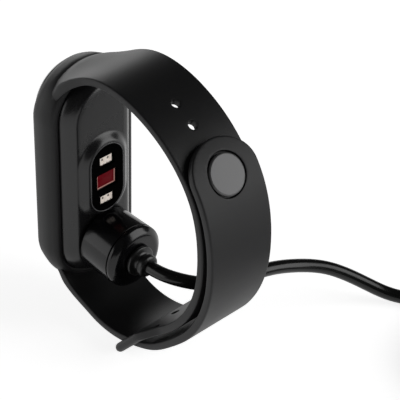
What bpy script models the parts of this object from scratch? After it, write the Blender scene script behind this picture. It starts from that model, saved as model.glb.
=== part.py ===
"""A fitness tracker band: a capsule held in a silicone strap, with its magnetic charging lead attached.

Layout frame, before the root empty stands the band on the floor: X = 0 is the flat back of the capsule and +X
points from the capsule towards the clasp, Y runs across the strap, and Z = 0 is the middle of the capsule.
Sizes are in millimetres times MM, which gives metres.
"""

import math

import bmesh
import bpy
import numpy as np
from mathutils import Matrix, Vector

MM = 0.001

# ---- Driving dimensions ----------------------------------------------------------------------------------

GAP = 0.3 * MM                      # clearance left between pieces that touch
TURN_STEPS = 30                     # sides of a turned piece; 4n + 2 keeps points off the plane it is parted on
SMALL_STEPS = 14                    # sides of a small turned piece

# Capsule: round-ended shells, each a turned profile whose two halves are pulled apart
CAPSULE_LENGTH = 46.4 * MM          # at the parting line with the strap
CAPSULE_WIDTH = 17.1 * MM
FLANGE_STEP = 0.5 * MM              # how far the front part stands out past the parting line, all round
BACK_CHAMFER = 2.4 * MM             # how far the flat back is inset from the parting line
PARTING_DEPTH = 2.7 * MM            # from the flat back to the parting line
FLANGE_DEPTH = 4.4 * MM             # from the flat back to the flange
SHELL_DEPTH = 8.7 * MM              # from the flat back to the front rim of the shell
SHELL_WALL = 1.0 * MM
BACK_WALL = 0.9 * MM
GLASS_THICKNESS = 1.3 * MM
GLASS_INSET = 1.3 * MM              # how far the front of the glass is drawn in from its rim
ADHESIVE_THICKNESS = 0.2 * MM
DISPLAY_THICKNESS = 1.2 * MM
FRAME_PLATE_THICKNESS = 0.6 * MM

# Optical sensor on the back
BUMP_HEIGHT = 1.24 * MM
BUMP_MARGIN = 0.4 * MM              # shell left round the window
BUMP_SLOPE = 1.4 * MM               # and beyond that the hump falls away over this width
WINDOW_LENGTH = 15.5 * MM
WINDOW_WIDTH = 8.1 * MM
WINDOW_CENTRE_Z = 0.9 * MM
WINDOW_THICKNESS = 0.5 * MM
WINDOW_LEDGE = 0.8 * MM             # the ledge that the window is seated on
DIODE_WIDTH = 4.3 * MM
DIODE_HEIGHT = 3.6 * MM
LED_WIDTH = 3.4 * MM
LED_HEIGHT = 1.9 * MM
LED_OFFSET = 4.6 * MM               # from the middle of the photodiode to the middle of each LED
OPTIC_DROP = 0.6 * MM               # the photodiode and the LEDs stand this far below the window's middle
OPTIC_THICKNESS = 1.1 * MM
SENSOR_BOARD_THICKNESS = 0.5 * MM

# Inside the capsule
BATTERY_SIZE = (2.8 * MM, 12.0 * MM, 20.0 * MM)
BATTERY_CENTRE_Z = -3.6 * MM
MOTOR_DIAMETER = 7.6 * MM
MOTOR_CENTRE_Z = 11.8 * MM
BOARD_THICKNESS = 0.6 * MM
BOARD_WIDTH = 12.4 * MM
BOARD_LENGTH = 37.0 * MM
CHIP_THICKNESS = 0.7 * MM
PROCESSOR_SIZE = 5.0 * MM
RADIO_SIZE = 3.6 * MM
CHIP_CENTRE_Z = 13.2 * MM

# Charging contacts and the magnets behind the back
CONTACT_DIAMETER = 2.2 * MM
CONTACT_SPACING = 6.4 * MM
CONTACT_HEIGHT = 1.3 * MM
DOCK_MAGNET_DIAMETER = 3.2 * MM
MAGNET_MARGIN = 0.4 * MM            # between a charger magnet and the inside of the charger's wall
DOCK_MAGNET_HEIGHT = 0.9 * MM

# Strap
STRAP_WIDTH = 15.2 * MM
STRAP_THICKNESS = 1.6 * MM
ROOT_THICKNESS = 2.0 * MM
EDGE_BEVEL = 0.35 * MM
RING_WALL = 1.45 * MM               # silicone round the capsule, outside its seat
RING_LIP = 0.45 * MM                # how far the rear lip reaches over the capsule's flange
RING_DEPTH = 6.1 * MM               # from the parting line to the front edge of the ring
ROOT_LENGTH = 8.0 * MM              # how much of each arm is moulded with the ring in one node
ROOT_BLEND = 12.0 * MM              # the arm goes from the ring's round end to flat over this length
ROOT_SEAT_X = -5.2 * MM             # where the arms start on the ring
ROOT_RAISE = 0.2 * MM               # how far an arm's root stands above the ring

LOOP_REACH = 35.3 * MM              # from the capsule's back to the middle of the inner strap opposite
LOOP_RISE = 3.55 * MM               # how far the middle of the upper arm rises past the ring's upper end
LOOP_DROP = 2.75 * MM               # and the middle of the lower arm drops past its lower end

# Clasp and keeper
HOLE_DIAMETER = 2.8 * MM
HOLE_PITCH = 5.0 * MM
HOLE_COUNT = 13
FIRST_HOLE = 26.2 * MM              # along the upper arm from its start
STUD_HOLE = 3                       # the stud is in the fourth hole, counted from 0
LAP_GAP_CLASP = 0.45 * MM           # between the two straps at the stud
LAP_GAP_KEEPER = 1.35 * MM          # and where they part at the keeper
TIP_HINGE = 14.0 * MM               # from the stud back to where the free end bends
BUTTON_DIAMETER = 8.5 * MM
BUTTON_THICKNESS = 0.8 * MM
BUTTON_PROUD = 0.1 * MM
BUTTON_GROOVE = 0.3 * MM            # gap round the button
PEG_DIAMETER = 1.9 * MM
PEG_HEAD_DIAMETER = 2.1 * MM
PEG_HEAD_HEIGHT = 0.9 * MM
KEEPER_DIAMETER = 1.9 * MM
KEEPER_REACH = 7.8 * MM             # from the upper arm's end back along the lower arm to the bar
KEEPER_CORNER = 2.0 * MM
FLARE_LENGTH = 7.0 * MM             # the upper arm widens to the keeper over this length

# Charger head
CHARGER_DIAMETER = 13.4 * MM
CHARGER_CENTRE_Z = -14.2 * MM
TILT_CLEARANCE = 0.1 * MM           # the head tips about a line this far beyond the hump
CHARGER_STANDOFF = 0.5 * MM         # its face is this far from the capsule's back
HOUSING_LENGTH = 7.6 * MM
CAP_LENGTH = 1.7 * MM
CHARGER_WALL = 0.9 * MM
CHARGER_ROUND = 0.7 * MM            # rounding of the cap's rim
CHARGER_BOARD_THICKNESS = 0.7 * MM
CHARGER_MAGNET_LENGTH = 1.8 * MM
PIN_DIAMETER = 1.1 * MM
PIN_LENGTH = 3.0 * MM
PIN_TRAVEL = 0.6 * MM

# Cord, in final coordinates
CORD_DIAMETER = 2.8 * MM
RELIEF_COLLAR_DIAMETER = 6.4 * MM
RELIEF_NECK_DIAMETER = 4.6 * MM
RELIEF_LENGTH = 4.4 * MM            # from the cap to the end of the strain relief
ROUTE_STEP = 2.2 * CORD_DIAMETER
CORD_ROUTE = (                      # the free stretch, by hand, from the strain relief to the coil
    (3.5, 0.3, 17.1), (6.6, 2.0, 16.7), (9.2, 4.6, 16.1), (11.0, 8.4, 15.4), (11.9, 13.2, 14.5),
    (12.6, 20.0, 13.3), (14.0, 27.0, 11.3), (16.6, 32.7, 9.3), (19.2, 36.4, 7.1), (22.4, 40.0, 4.3),
    (25.6, 42.9, 2.3), (30.2, 46.6, 1.5), (35.0, 50.6, 1.5),
)
COIL_CENTRE = (55.4 * MM, 45.0 * MM)
COIL_INNER_RADIUS = 13.6 * MM
COIL_OUTER_RADIUS = 19.2 * MM
COIL_HEIGHT = 5.6 * MM
COIL_LIFT = 0.9 * MM                # the coil lies on its tie, this far above the floor
TIE_WIDTH = 4.0 * MM
TIE_THICKNESS = 0.55 * MM
TIE_ANGLE = math.radians(-70)
TAIL_ROUTE = ((74.0, 35.2, 3.9), (75.1, 31.0, 3.9), (75.3, 26.0, 3.9))

# Plug on the far end
PLUG_CENTRE_X = 75.3 * MM
PLUG_START_Y = 25.7 * MM
PLUG_NECK_LENGTH = 5.0 * MM
PLUG_NECK_DIAMETER = 5.0 * MM
GRIP_SIZE = (15.0 * MM, 18.0 * MM, 7.4 * MM)
USB_SIZE = (12.0 * MM, 12.0 * MM, 4.5 * MM)
USB_WALL = 0.35 * MM
TONGUE_THICKNESS = 1.8 * MM

# ---- Worked out from the driving dimensions --------------------------------------------------------------

CAPSULE_RADIUS = CAPSULE_WIDTH / 2
END_OFFSET = CAPSULE_LENGTH / 2 - CAPSULE_RADIUS          # from the capsule's centre to that of a round end
FLANGE_RADIUS = CAPSULE_RADIUS + FLANGE_STEP
BACK_RADIUS = CAPSULE_RADIUS - BACK_CHAMFER
CAVITY_RADIUS = FLANGE_RADIUS - SHELL_WALL
SEAT_RADIUS = FLANGE_RADIUS + GAP
LIP_RADIUS = SEAT_RADIUS - RING_LIP
RING_RADIUS = SEAT_RADIUS + RING_WALL
RING_END_Z = END_OFFSET + RING_RADIUS
HALF_STRAP = STRAP_WIDTH / 2
ROOT_Z = RING_END_Z + ROOT_RAISE - ROOT_THICKNESS / 2
ADHESIVE_BACK_X = -SHELL_DEPTH - GAP
GLASS_BACK_X = ADHESIVE_BACK_X - ADHESIVE_THICKNESS - GAP
GLASS_FRONT_X = GLASS_BACK_X - GLASS_THICKNESS
CHARGER_RADIUS = CHARGER_DIAMETER / 2
HOUSING_END_X = CHARGER_STANDOFF + HOUSING_LENGTH
CAP_START_X = HOUSING_END_X + GAP
CAP_END_X = CAP_START_X + CAP_LENGTH
CORD_START_X = CAP_END_X + RELIEF_LENGTH + GAP
CORD_RADIUS = CORD_DIAMETER / 2
HALF_KEEPER = HALF_STRAP + GAP + KEEPER_DIAMETER / 2
LOOP_TOP = RING_END_Z + LOOP_RISE
LOOP_BASE = RING_END_Z + LOOP_DROP
DOCK_MAGNET_SPACING = 2 * (CHARGER_RADIUS - CHARGER_WALL - MAGNET_MARGIN) - DOCK_MAGNET_DIAMETER
WINDOW_RADIUS = WINDOW_WIDTH / 2
WINDOW_OFFSET = WINDOW_LENGTH / 2 - WINDOW_RADIUS
BUMP_RADIUS = WINDOW_RADIUS + BUMP_MARGIN
OPTIC_FRONT_X = BUMP_HEIGHT - WINDOW_THICKNESS - GAP
OPTIC_CENTRE_Z = WINDOW_CENTRE_Z - OPTIC_DROP
KEEPER_DEPTH = STRAP_THICKNESS / 2 + GAP + KEEPER_DIAMETER / 2
ALONG_X = Matrix.Rotation(math.pi / 2, 4, "Y")            # turns a piece's own Z axis to point along X

# ---- Looks: base colour, roughness and how metallic ------------------------------------------------------

SILICONE = ((0.022, 0.022, 0.023), 0.55)
BUTTON_METAL = ((0.13, 0.13, 0.135), 0.38, 0.9)
STEEL = ((0.6, 0.6, 0.62), 0.3, 1.0)
NICKEL = ((0.7, 0.7, 0.72), 0.25, 1.0)
GOLD = ((0.8, 0.6, 0.3), 0.25, 1.0)
BLACK_PLASTIC = ((0.012, 0.012, 0.013), 0.3)
CORD_RUBBER = ((0.01, 0.01, 0.01), 0.25)
TIE_PLASTIC = ((0.02, 0.02, 0.02), 0.6)
PALE_PLASTIC = ((0.85, 0.85, 0.84), 0.4)
GREY_PLASTIC = ((0.35, 0.35, 0.36), 0.5)
DARK_GLASS = ((0.01, 0.01, 0.012), 0.07)
ADHESIVE = ((0.1, 0.1, 0.1), 0.7)
DISPLAY = ((0.02, 0.03, 0.05), 0.2)
POUCH_FOIL = ((0.55, 0.56, 0.58), 0.35, 0.6)
BOARD_GREEN = ((0.01, 0.12, 0.06), 0.5)
CHIP_BLACK = ((0.03, 0.03, 0.03), 0.5)
DIODE_RED = ((0.2, 0.01, 0.02), 0.25)
LED_CREAM = ((0.75, 0.73, 0.68), 0.25)

# ---- Scene and small helpers -----------------------------------------------------------------------------

for old in list(bpy.data.objects):
    bpy.data.objects.remove(old, do_unlink=True)

parts = bpy.data.collections.new("fitness_tracker_band")
tools = bpy.data.collections.new("cutters")
for collection in (parts, tools):
    bpy.context.scene.collection.children.link(collection)


def empty(name, parent=None, location=(0, 0, 0)):
    """An empty that pieces hang from, on a joint's axis or at a group's reference point."""
    obj = bpy.data.objects.new(name, None)
    obj.empty_display_size = 3 * MM
    parts.objects.link(obj)
    obj.parent = parent
    obj.location = location
    return obj


def finish(name, color, roughness, metallic=0.0):
    """A Principled material for one piece, from one of the looks above."""
    made = bpy.data.materials.new(name + "_finish")
    made.use_nodes = True
    shader = made.node_tree.nodes["Principled BSDF"]
    shader.inputs["Base Color"].default_value = (*color, 1)
    shader.inputs["Roughness"].default_value = roughness
    shader.inputs["Metallic"].default_value = metallic
    return made


def piece(name, mesh, look, parent, matrix=None):
    """A named part made of this mesh, with this look, placed by a matrix in the layout frame."""
    obj = bpy.data.objects.new(name, mesh)
    parts.objects.link(obj)
    mesh.materials.clear()
    mesh.materials.append(finish(name, *look))
    obj.parent = parent
    place = matrix if matrix is not None else Matrix()
    obj.matrix_local = Matrix.Translation(-centre_of(parent)) @ place
    mesh.shade_smooth()
    mesh.set_sharp_from_angle(angle=math.radians(35))
    return obj


def centre_of(parent):
    """Where an empty stands in the layout frame: its place added to those of its parents, less the root's."""
    place = Vector()
    while parent is not None and parent.parent is not None:
        place += parent.location
        parent = parent.parent
    return place


def evaluated_mesh(obj):
    bpy.context.view_layer.update()
    depsgraph = bpy.context.evaluated_depsgraph_get()
    return bpy.data.meshes.new_from_object(obj.evaluated_get(depsgraph))


def outward(mesh):
    """Merges doubled points and turns every face outwards."""
    work = bmesh.new()
    work.from_mesh(mesh)
    bmesh.ops.remove_doubles(work, verts=work.verts, dist=1e-6)
    bmesh.ops.recalc_face_normals(work, faces=work.faces)
    work.to_mesh(mesh)
    work.free()
    return mesh


def turned(profile, steps=TURN_STEPS, stretch=0.0, closed=False):
    """A mesh turned about Z from (radius, height) points. stretch pulls its two halves apart along X, which
    turns each circle into a round-ended slot. A closed profile makes a ring."""
    outline = bpy.data.meshes.new("profile")
    count = len(profile)
    edges = [(i, i + 1) for i in range(count - 1)]
    if closed:
        edges.append((count - 1, 0))
    outline.from_pydata([(radius, 0, height) for radius, height in profile], edges, [])
    guide = bpy.data.objects.new("profile", outline)
    tools.objects.link(guide)
    screw = guide.modifiers.new("Turn", "SCREW")
    screw.axis = "Z"
    screw.steps = steps
    screw.render_steps = steps
    screw.use_merge_vertices = True
    screw.merge_threshold = 0.00001
    mesh = evaluated_mesh(guide)
    bpy.data.objects.remove(guide, do_unlink=True)
    for vertex in mesh.vertices:
        if abs(vertex.co.x) > 1e-7:
            vertex.co.x += math.copysign(stretch, vertex.co.x)
    return outward(mesh)


def disc(radius, low, high, steps=SMALL_STEPS, stretch=0.0):
    """A plain turned disc or slot between two heights."""
    return turned([(0, high), (radius, high), (radius, low), (0, low)], steps, stretch)


def box(size, bevel=0.0):
    """A box about the origin, with its edges bevelled."""
    work = bmesh.new()
    bmesh.ops.create_cube(work, size=1, matrix=Matrix.Diagonal((*size, 1)))
    if bevel:
        bmesh.ops.bevel(work, geom=work.edges, offset=bevel, segments=1, affect="EDGES")
    mesh = bpy.data.meshes.new("box")
    work.to_mesh(mesh)
    work.free()
    return mesh


def at(x, y, z):
    return Matrix.Translation((x, y, z))


CHARGER_AXIS = at(0, 0, CHARGER_CENTRE_Z) @ ALONG_X      # the middle line of the charger's head


def cutter(mesh, matrix):
    """A guide solid for a Boolean, in the layout frame of the root."""
    obj = bpy.data.objects.new("cutter", mesh)
    tools.objects.link(obj)
    obj.hide_render = True
    obj.display_type = "WIRE"
    obj.parent = root
    obj.matrix_local = matrix
    return obj


def boolean(obj, other, operation="DIFFERENCE"):
    step = obj.modifiers.new(operation.title(), "BOOLEAN")
    step.operation = operation
    step.solver = "EXACT"
    step.object = other


def baked(obj):
    """Replaces a piece's mesh with its evaluated one and drops its modifiers."""
    mesh = evaluated_mesh(obj)
    obj.modifiers.clear()
    obj.data = mesh


# ---- Curves in the strap's side view ---------------------------------------------------------------------


def spline(points, per_span=20):
    """A natural cubic curve through the points, as a dense list, with chord lengths as its parameter."""
    points = np.asarray(points, float)
    knots = np.concatenate([[0], np.cumsum(np.linalg.norm(np.diff(points, axis=0), axis=1))])
    count = len(points)
    spans = np.diff(knots)
    system = np.eye(count)
    slopes = np.diff(points, axis=0) / spans[:, None]
    target = np.zeros_like(points)
    for i in range(1, count - 1):
        system[i, i - 1:i + 2] = (spans[i - 1], 2 * (spans[i - 1] + spans[i]), spans[i])
        target[i] = 6 * (slopes[i] - slopes[i - 1])
    bend = np.linalg.solve(system, target)
    dense = []
    for i in range(count - 1):
        for t in np.linspace(0, spans[i], per_span, endpoint=False):
            back = spans[i] - t
            value = (bend[i] * back ** 3 + bend[i + 1] * t ** 3) / (6 * spans[i])
            value = value + (points[i] / spans[i] - bend[i] * spans[i] / 6) * back
            value = value + (points[i + 1] / spans[i] - bend[i + 1] * spans[i] / 6) * t
            dense.append(value)
    dense.append(points[-1])
    return np.array(dense)


class Path:
    """A curve measured by its length. side is +1 where the outside of the loop is to its left, else -1."""

    def __init__(self, points, side=1):
        self.points = spline(points)
        steps = np.linalg.norm(np.diff(self.points, axis=0), axis=1)
        self.lengths = np.concatenate([[0], np.cumsum(steps)])
        self.length = self.lengths[-1]
        self.side = side

    def at(self, along):
        return np.array([np.interp(along, self.lengths, column) for column in self.points.T])

    def tangent(self, along):
        step = 0.2 * MM
        low = min(max(along - step, 0), self.length - 2 * step)
        ahead = self.at(low + 2 * step) - self.at(low)
        return ahead / np.linalg.norm(ahead)

    def normal(self, along):
        """The unit vector out of the loop."""
        tx, tz = self.tangent(along)
        return self.side * np.array([-tz, tx])

    def frame(self, along, depth=0.0):
        """A matrix whose Z axis points out of the loop and whose X axis runs along the path."""
        tx, tz = self.tangent(along)
        nx, nz = self.normal(along)
        x, z = self.at(along) + depth * self.normal(along)
        columns = Matrix(((tx, 0, nx, x), (0, 1, 0, 0), (tz, 0, nz, z), (0, 0, 0, 1)))
        if columns.to_3x3().determinant() < 0:
            columns = columns @ Matrix.Diagonal((-1, 1, 1, 1))
        return columns


def ribbon(path, stations, half_width, rows=2, droop=None):
    """An open sheet along a path: a grid whose columns stand at the stations. droop(along, across) lowers it
    towards the inside of the loop."""
    stations = list(stations)
    work = bmesh.new()
    bmesh.ops.create_grid(work, x_segments=len(stations) - 1, y_segments=rows - 1, size=0.5)
    for vertex in work.verts:
        along = stations[round((vertex.co.x + 0.5) * (len(stations) - 1))]
        across = 2 * vertex.co.y * half_width(along)
        lowered = droop(along, across) if droop else 0.0
        x, z = path.at(along) - lowered * path.normal(along)
        vertex.co = (x, across, z)
    mesh = bpy.data.meshes.new("ribbon")
    work.to_mesh(mesh)
    work.free()
    return mesh


def thicken(obj, thickness, bevel=EDGE_BEVEL):
    """Gives a sheet its thickness, half to each side, and softens its edges."""
    solid = obj.modifiers.new("Thickness", "SOLIDIFY")
    solid.thickness = thickness
    solid.offset = 0
    solid.use_even_offset = True
    if bevel:
        soft = obj.modifiers.new("Edges", "BEVEL")
        soft.width = bevel
        soft.segments = 1
        soft.limit_method = "ANGLE"
        soft.angle_limit = math.radians(50)


def scaled(points):
    """Side-view points given as shares of the loop's reach and of its height above or below the capsule."""
    return [(u * LOOP_REACH, v * (LOOP_TOP if v > 0 else LOOP_BASE)) for u, v in points]


# Both arms start on the ring. The upper arm goes right round the inside to the keeper.
UPPER_SHAPE = ((0.03, 0.918), (0.2, 0.99), (0.36, 1.0), (0.57, 0.935), (0.765, 0.793), (0.93, 0.545),
               (1.0, 0.17), (0.972, -0.17), (0.84, -0.5), (0.558, -0.816))
LOWER_SHAPE = ((0.03, -0.935), (0.19, -0.995), (0.36, -0.998), (0.49, -0.955))
upper = Path([(ROOT_SEAT_X, ROOT_Z)] + scaled(UPPER_SHAPE))
stud_along = FIRST_HOLE + STUD_HOLE * HOLE_PITCH


def lap_gap(along):
    """The gap between the straps, which closes from the keeper to the stud."""
    share = (along - stud_along) / (upper.length - stud_along)
    return LAP_GAP_CLASP + min(max(share, 0), 1) ** 0.5 * (LAP_GAP_KEEPER - LAP_GAP_CLASP)


def lapped(along):
    """The point of the outer strap's middle that lies over this point of the upper arm."""
    return upper.at(along) + (STRAP_THICKNESS + lap_gap(along)) * upper.normal(along)


lap_stations = np.linspace(upper.length - 1.0 * MM, stud_along - 1.3 * HALF_STRAP, 10)
lap_points = [tuple(lapped(along)) for along in lap_stations]
lower = Path([(ROOT_SEAT_X, -ROOT_Z)] + scaled(LOWER_SHAPE) + lap_points, side=-1)


def nearest(path, point):
    """How far along a path it comes closest to a point."""
    distances = np.linalg.norm(path.points - point, axis=1)
    return path.lengths[int(np.argmin(distances))]


stud_lower = nearest(lower, lapped(stud_along))
hinge_lower = stud_lower - TIP_HINGE
tip_end = stud_lower + HALF_STRAP

# The keeper's bar lies under the lower arm, behind the end of the upper arm.
arm_end = upper.at(upper.length)
keeper_along = nearest(lower, arm_end) - KEEPER_REACH
keeper_bar = lower.at(keeper_along) + KEEPER_DEPTH * lower.normal(keeper_along)
band_bottom = keeper_bar[1] - KEEPER_DIAMETER / 2

outer_lap = lower.points + STRAP_THICKNESS / 2 * np.array([lower.normal(s) for s in lower.lengths])
band_far = outer_lap[:, 0].max()

# ---- Empties: the root and the joints --------------------------------------------------------------------

root = empty("band_origin")
root.location = (-(GLASS_FRONT_X + band_far) / 2, 0, -band_bottom)
hinge_spot = lower.at(hinge_lower) + STRAP_THICKNESS / 2 * lower.normal(hinge_lower)
strap_empty = empty("strap_reference", root)
tip_empty = empty("clasp_peel_axis", root, (hinge_spot[0], 0, hinge_spot[1]))
tracker_empty = empty("tracker_reference", root)
tilt_spot = (BUMP_HEIGHT + TILT_CLEARANCE, 0, CHARGER_CENTRE_Z + CHARGER_RADIUS)
charger_empty = empty("charger_tilt_axis", root, tilt_spot)
pin_empties = {}
for side, sign in (("near", -1), ("far", 1)):
    pin_spot = (CHARGER_STANDOFF, sign * CONTACT_SPACING / 2, CHARGER_CENTRE_Z)
    pin_empties[side] = empty(f"pin_{side}_axis", root, pin_spot)
cord_empty = empty("cord_reference")

# ---- Strap -----------------------------------------------------------------------------------------------


def root_droop(along, across):
    """At its root an arm follows the ring's round end, and it flattens out along the arm."""
    share = max(1 - along / ROOT_BLEND, 0) ** 2.2
    radius = RING_RADIUS + ROOT_RAISE
    return share * (radius - math.sqrt(radius ** 2 - across ** 2))


def strap_frame():
    """The ring round the capsule, with the roots of both arms."""
    front = -PARTING_DEPTH - RING_DEPTH
    profile = (
        (LIP_RADIUS + 0.35 * MM, -PARTING_DEPTH), (RING_RADIUS - 0.7 * MM, -PARTING_DEPTH - 0.35 * MM),
        (RING_RADIUS - 0.15 * MM, -PARTING_DEPTH - 1.4 * MM), (RING_RADIUS, -PARTING_DEPTH - 2.8 * MM),
        (RING_RADIUS - 0.1 * MM, front + 1.7 * MM), (RING_RADIUS - 0.45 * MM, front + 0.6 * MM),
        (RING_RADIUS - 0.9 * MM, front), (SEAT_RADIUS, front), (SEAT_RADIUS, -FLANGE_DEPTH + GAP),
        (LIP_RADIUS, -FLANGE_DEPTH + GAP), (LIP_RADIUS, -PARTING_DEPTH - 0.3 * MM),
    )
    mesh = turned(profile, stretch=END_OFFSET, closed=True)
    ring = piece("strap_frame", mesh, SILICONE, strap_empty, ALONG_X)
    for path in (upper, lower):
        stations = np.linspace(0, ROOT_LENGTH, 7)
        sheet = ribbon(path, stations, lambda along: HALF_STRAP, rows=9, droop=root_droop)
        arm = cutter(sheet, Matrix())
        thicken(arm, ROOT_THICKNESS)
        boolean(ring, arm, "UNION")
    seat = disc(LIP_RADIUS, front - GAP, GAP, TURN_STEPS, END_OFFSET)
    boolean(ring, cutter(seat, ALONG_X))
    baked(ring)


def flared(along):
    """Half the width of the upper arm, which widens at its end to carry the keeper."""
    share = min(max((along - (upper.length - FLARE_LENGTH)) / FLARE_LENGTH, 0), 1)
    ease = share * share * (3 - 2 * share)
    return HALF_STRAP + ease * (HALF_KEEPER + KEEPER_DIAMETER / 2 - HALF_STRAP)


def hole_places():
    """How far along the upper arm each hole stands."""
    return [FIRST_HOLE + i * HOLE_PITCH for i in range(HOLE_COUNT)]


def upper_strap():
    stations = np.linspace(ROOT_LENGTH + GAP, upper.length, 42)
    sheet = ribbon(upper, stations, flared, rows=3, droop=root_droop)
    arm = piece("upper_strap", sheet, SILICONE, strap_empty)
    thicken(arm, STRAP_THICKNESS)
    reach = 2 * STRAP_THICKNESS
    for along in hole_places():
        drill = disc(HOLE_DIAMETER / 2, -reach, reach)
        boolean(arm, cutter(drill, upper.frame(along)))
    baked(arm)


def lower_strap():
    stations = np.linspace(ROOT_LENGTH + GAP, hinge_lower - GAP / 2, 40)
    sheet = ribbon(lower, stations, lambda along: HALF_STRAP, rows=3, droop=root_droop)
    arm = piece("lower_strap", sheet, SILICONE, strap_empty)
    thicken(arm, STRAP_THICKNESS)
    baked(arm)


def tube(name, points, radius, look, parent, resolution=2):
    """A round bar or cord along points in its parent's frame, made a mesh."""
    data = bpy.data.curves.new(name, "CURVE")
    data.dimensions = "3D"
    data.bevel_depth = radius
    data.bevel_resolution = resolution
    data.use_fill_caps = True
    line = data.splines.new("POLY")
    line.points.add(len(points) - 1)
    for point, place in zip(line.points, points):
        point.co = (*place, 1)
    curve = bpy.data.objects.new(name + "_curve", data)
    tools.objects.link(curve)
    mesh = outward(evaluated_mesh(curve))
    bpy.data.objects.remove(curve, do_unlink=True)
    return piece(name, mesh, look, parent)


def corner(start, bend, end, radius, count=4):
    """Points of a rounded corner between two straight runs."""
    start, bend, end = (Vector(p) for p in (start, bend, end))
    into = (bend - start).normalized()
    away = (end - bend).normalized()
    first = bend - radius * into
    last = bend + radius * away
    points = []
    for i in range(count + 1):
        t = i / count
        points.append((1 - t) ** 2 * first + 2 * t * (1 - t) * bend + t ** 2 * last)
    return points


def keeper_loop():
    """The round bar that holds the free arm, with a leg at each edge of the strap."""
    tx, tz = upper.tangent(upper.length)
    leg_x = arm_end[0] + (GAP + KEEPER_DIAMETER * 0.2) * tx
    leg_z = arm_end[1] + (GAP + KEEPER_DIAMETER * 0.2) * tz
    points = []
    for sign in (-1, 1):
        top = (leg_x, sign * HALF_KEEPER, leg_z)
        low = (keeper_bar[0], sign * HALF_KEEPER, keeper_bar[1])
        middle = (keeper_bar[0], 0, keeper_bar[1])
        run = [Vector(top)] + corner(top, low, middle, KEEPER_CORNER)
        points += run if sign < 0 else run[::-1]
    tube("keeper_loop", points, KEEPER_DIAMETER / 2, SILICONE, strap_empty, resolution=3)


def tip_width(along):
    """The free end is round about the stud."""
    past = along - stud_lower
    return HALF_STRAP if past <= 0 else math.sqrt(max(HALF_STRAP ** 2 - past ** 2, 0))


def strap_tip():
    straight = list(np.linspace(hinge_lower + GAP / 2, stud_lower, 9))
    rounded = [stud_lower + HALF_STRAP * math.sin(math.radians(a)) for a in (18, 34, 48, 60, 70, 78)]
    sheet = ribbon(lower, straight + rounded, tip_width, rows=3)
    tip = piece("strap_tip", sheet, SILICONE, tip_empty)
    thicken(tip, STRAP_THICKNESS)
    top = STRAP_THICKNESS / 2
    pocket_floor = top + BUTTON_PROUD - BUTTON_THICKNESS - GAP
    pocket = disc(BUTTON_DIAMETER / 2 + BUTTON_GROOVE, pocket_floor, 2 * top, 24)
    bore = disc(PEG_DIAMETER / 2 + GAP, -2 * STRAP_THICKNESS, 2 * top)
    boolean(tip, cutter(pocket, lower.frame(stud_lower)))
    boolean(tip, cutter(bore, lower.frame(stud_lower)))
    baked(tip)


def stud():
    """A metal button outside, and the peg below it that snaps into a hole of the inner strap."""
    frame = lower.frame(stud_lower)
    top = STRAP_THICKNESS / 2 + BUTTON_PROUD
    low = top - BUTTON_THICKNESS
    radius = BUTTON_DIAMETER / 2
    rim = 0.15 * MM
    cap = turned(((0, top), (radius - rim, top), (radius, top - rim), (radius, low), (0, low)), 26)
    piece("stud_button", cap, BUTTON_METAL, tip_empty, frame)
    peg_top = low - GAP
    seat = -STRAP_THICKNESS / 2 - lap_gap(stud_along) - STRAP_THICKNESS
    neck = PEG_DIAMETER / 2
    head = PEG_HEAD_DIAMETER / 2
    end = seat - PEG_HEAD_HEIGHT
    profile = ((0, peg_top), (neck, peg_top), (neck, seat + 0.2 * MM), (head, seat - 0.2 * MM),
               (head, end + 0.3 * MM), (head - 0.4 * MM, end), (0, end))
    piece("stud_peg", turned(profile, SMALL_STEPS), STEEL, tip_empty, frame)


# ---- Capsule ---------------------------------------------------------------------------------------------

def capsule_shell():
    chamfer = [(BACK_RADIUS + BACK_CHAMFER * math.sin(a), -PARTING_DEPTH * (1 - math.cos(a)))
               for a in (0, 0.5, 0.95, math.pi / 2)]
    profile = [(0, 0)] + chamfer + [
        (CAPSULE_RADIUS, -FLANGE_DEPTH), (FLANGE_RADIUS, -FLANGE_DEPTH),
        (FLANGE_RADIUS, -SHELL_DEPTH), (CAVITY_RADIUS, -SHELL_DEPTH), (CAVITY_RADIUS, -PARTING_DEPTH),
        (BACK_RADIUS - 0.3 * MM, -BACK_WALL), (0, -BACK_WALL)]
    mesh = turned(profile, stretch=END_OFFSET)
    shell = piece("capsule_shell", mesh, BLACK_PLASTIC, tracker_empty, ALONG_X)
    slope = [(BUMP_RADIUS + BUMP_SLOPE * u, BUMP_HEIGHT * (1 + math.cos(math.pi * u)) / 2)
             for u in (0, 0.3, 0.55, 0.8)]
    foot = BUMP_RADIUS + BUMP_SLOPE
    bump = [(0, BUMP_HEIGHT)] + slope + [(foot, 0.02 * MM), (foot, -BACK_WALL / 2), (0, -BACK_WALL / 2)]
    spot = at(0, 0, WINDOW_CENTRE_Z) @ ALONG_X
    hump = cutter(turned(bump, 26, WINDOW_OFFSET), spot)
    rest = disc(CHARGER_RADIUS + GAP, 0.03 * MM, 2 * BUMP_HEIGHT, TURN_STEPS)
    boolean(hump, cutter(rest, at(0, 0, CHARGER_CENTRE_Z) @ ALONG_X))
    boolean(shell, hump, "UNION")
    seat_x = BUMP_HEIGHT - WINDOW_THICKNESS - GAP
    pocket = disc(WINDOW_RADIUS, seat_x, 2 * BUMP_HEIGHT, 26, WINDOW_OFFSET)
    opening = disc(WINDOW_RADIUS - WINDOW_LEDGE, -2 * BACK_WALL, BUMP_HEIGHT, 26, WINDOW_OFFSET)
    boolean(shell, cutter(pocket, spot))
    boolean(shell, cutter(opening, spot))
    for sign in (-1, 1):
        bore = disc(CONTACT_DIAMETER / 2 + GAP, -2 * BACK_WALL, BACK_WALL)
        boolean(shell, cutter(bore, at(0, sign * CONTACT_SPACING / 2, CHARGER_CENTRE_Z) @ ALONG_X))
    baked(shell)


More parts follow.
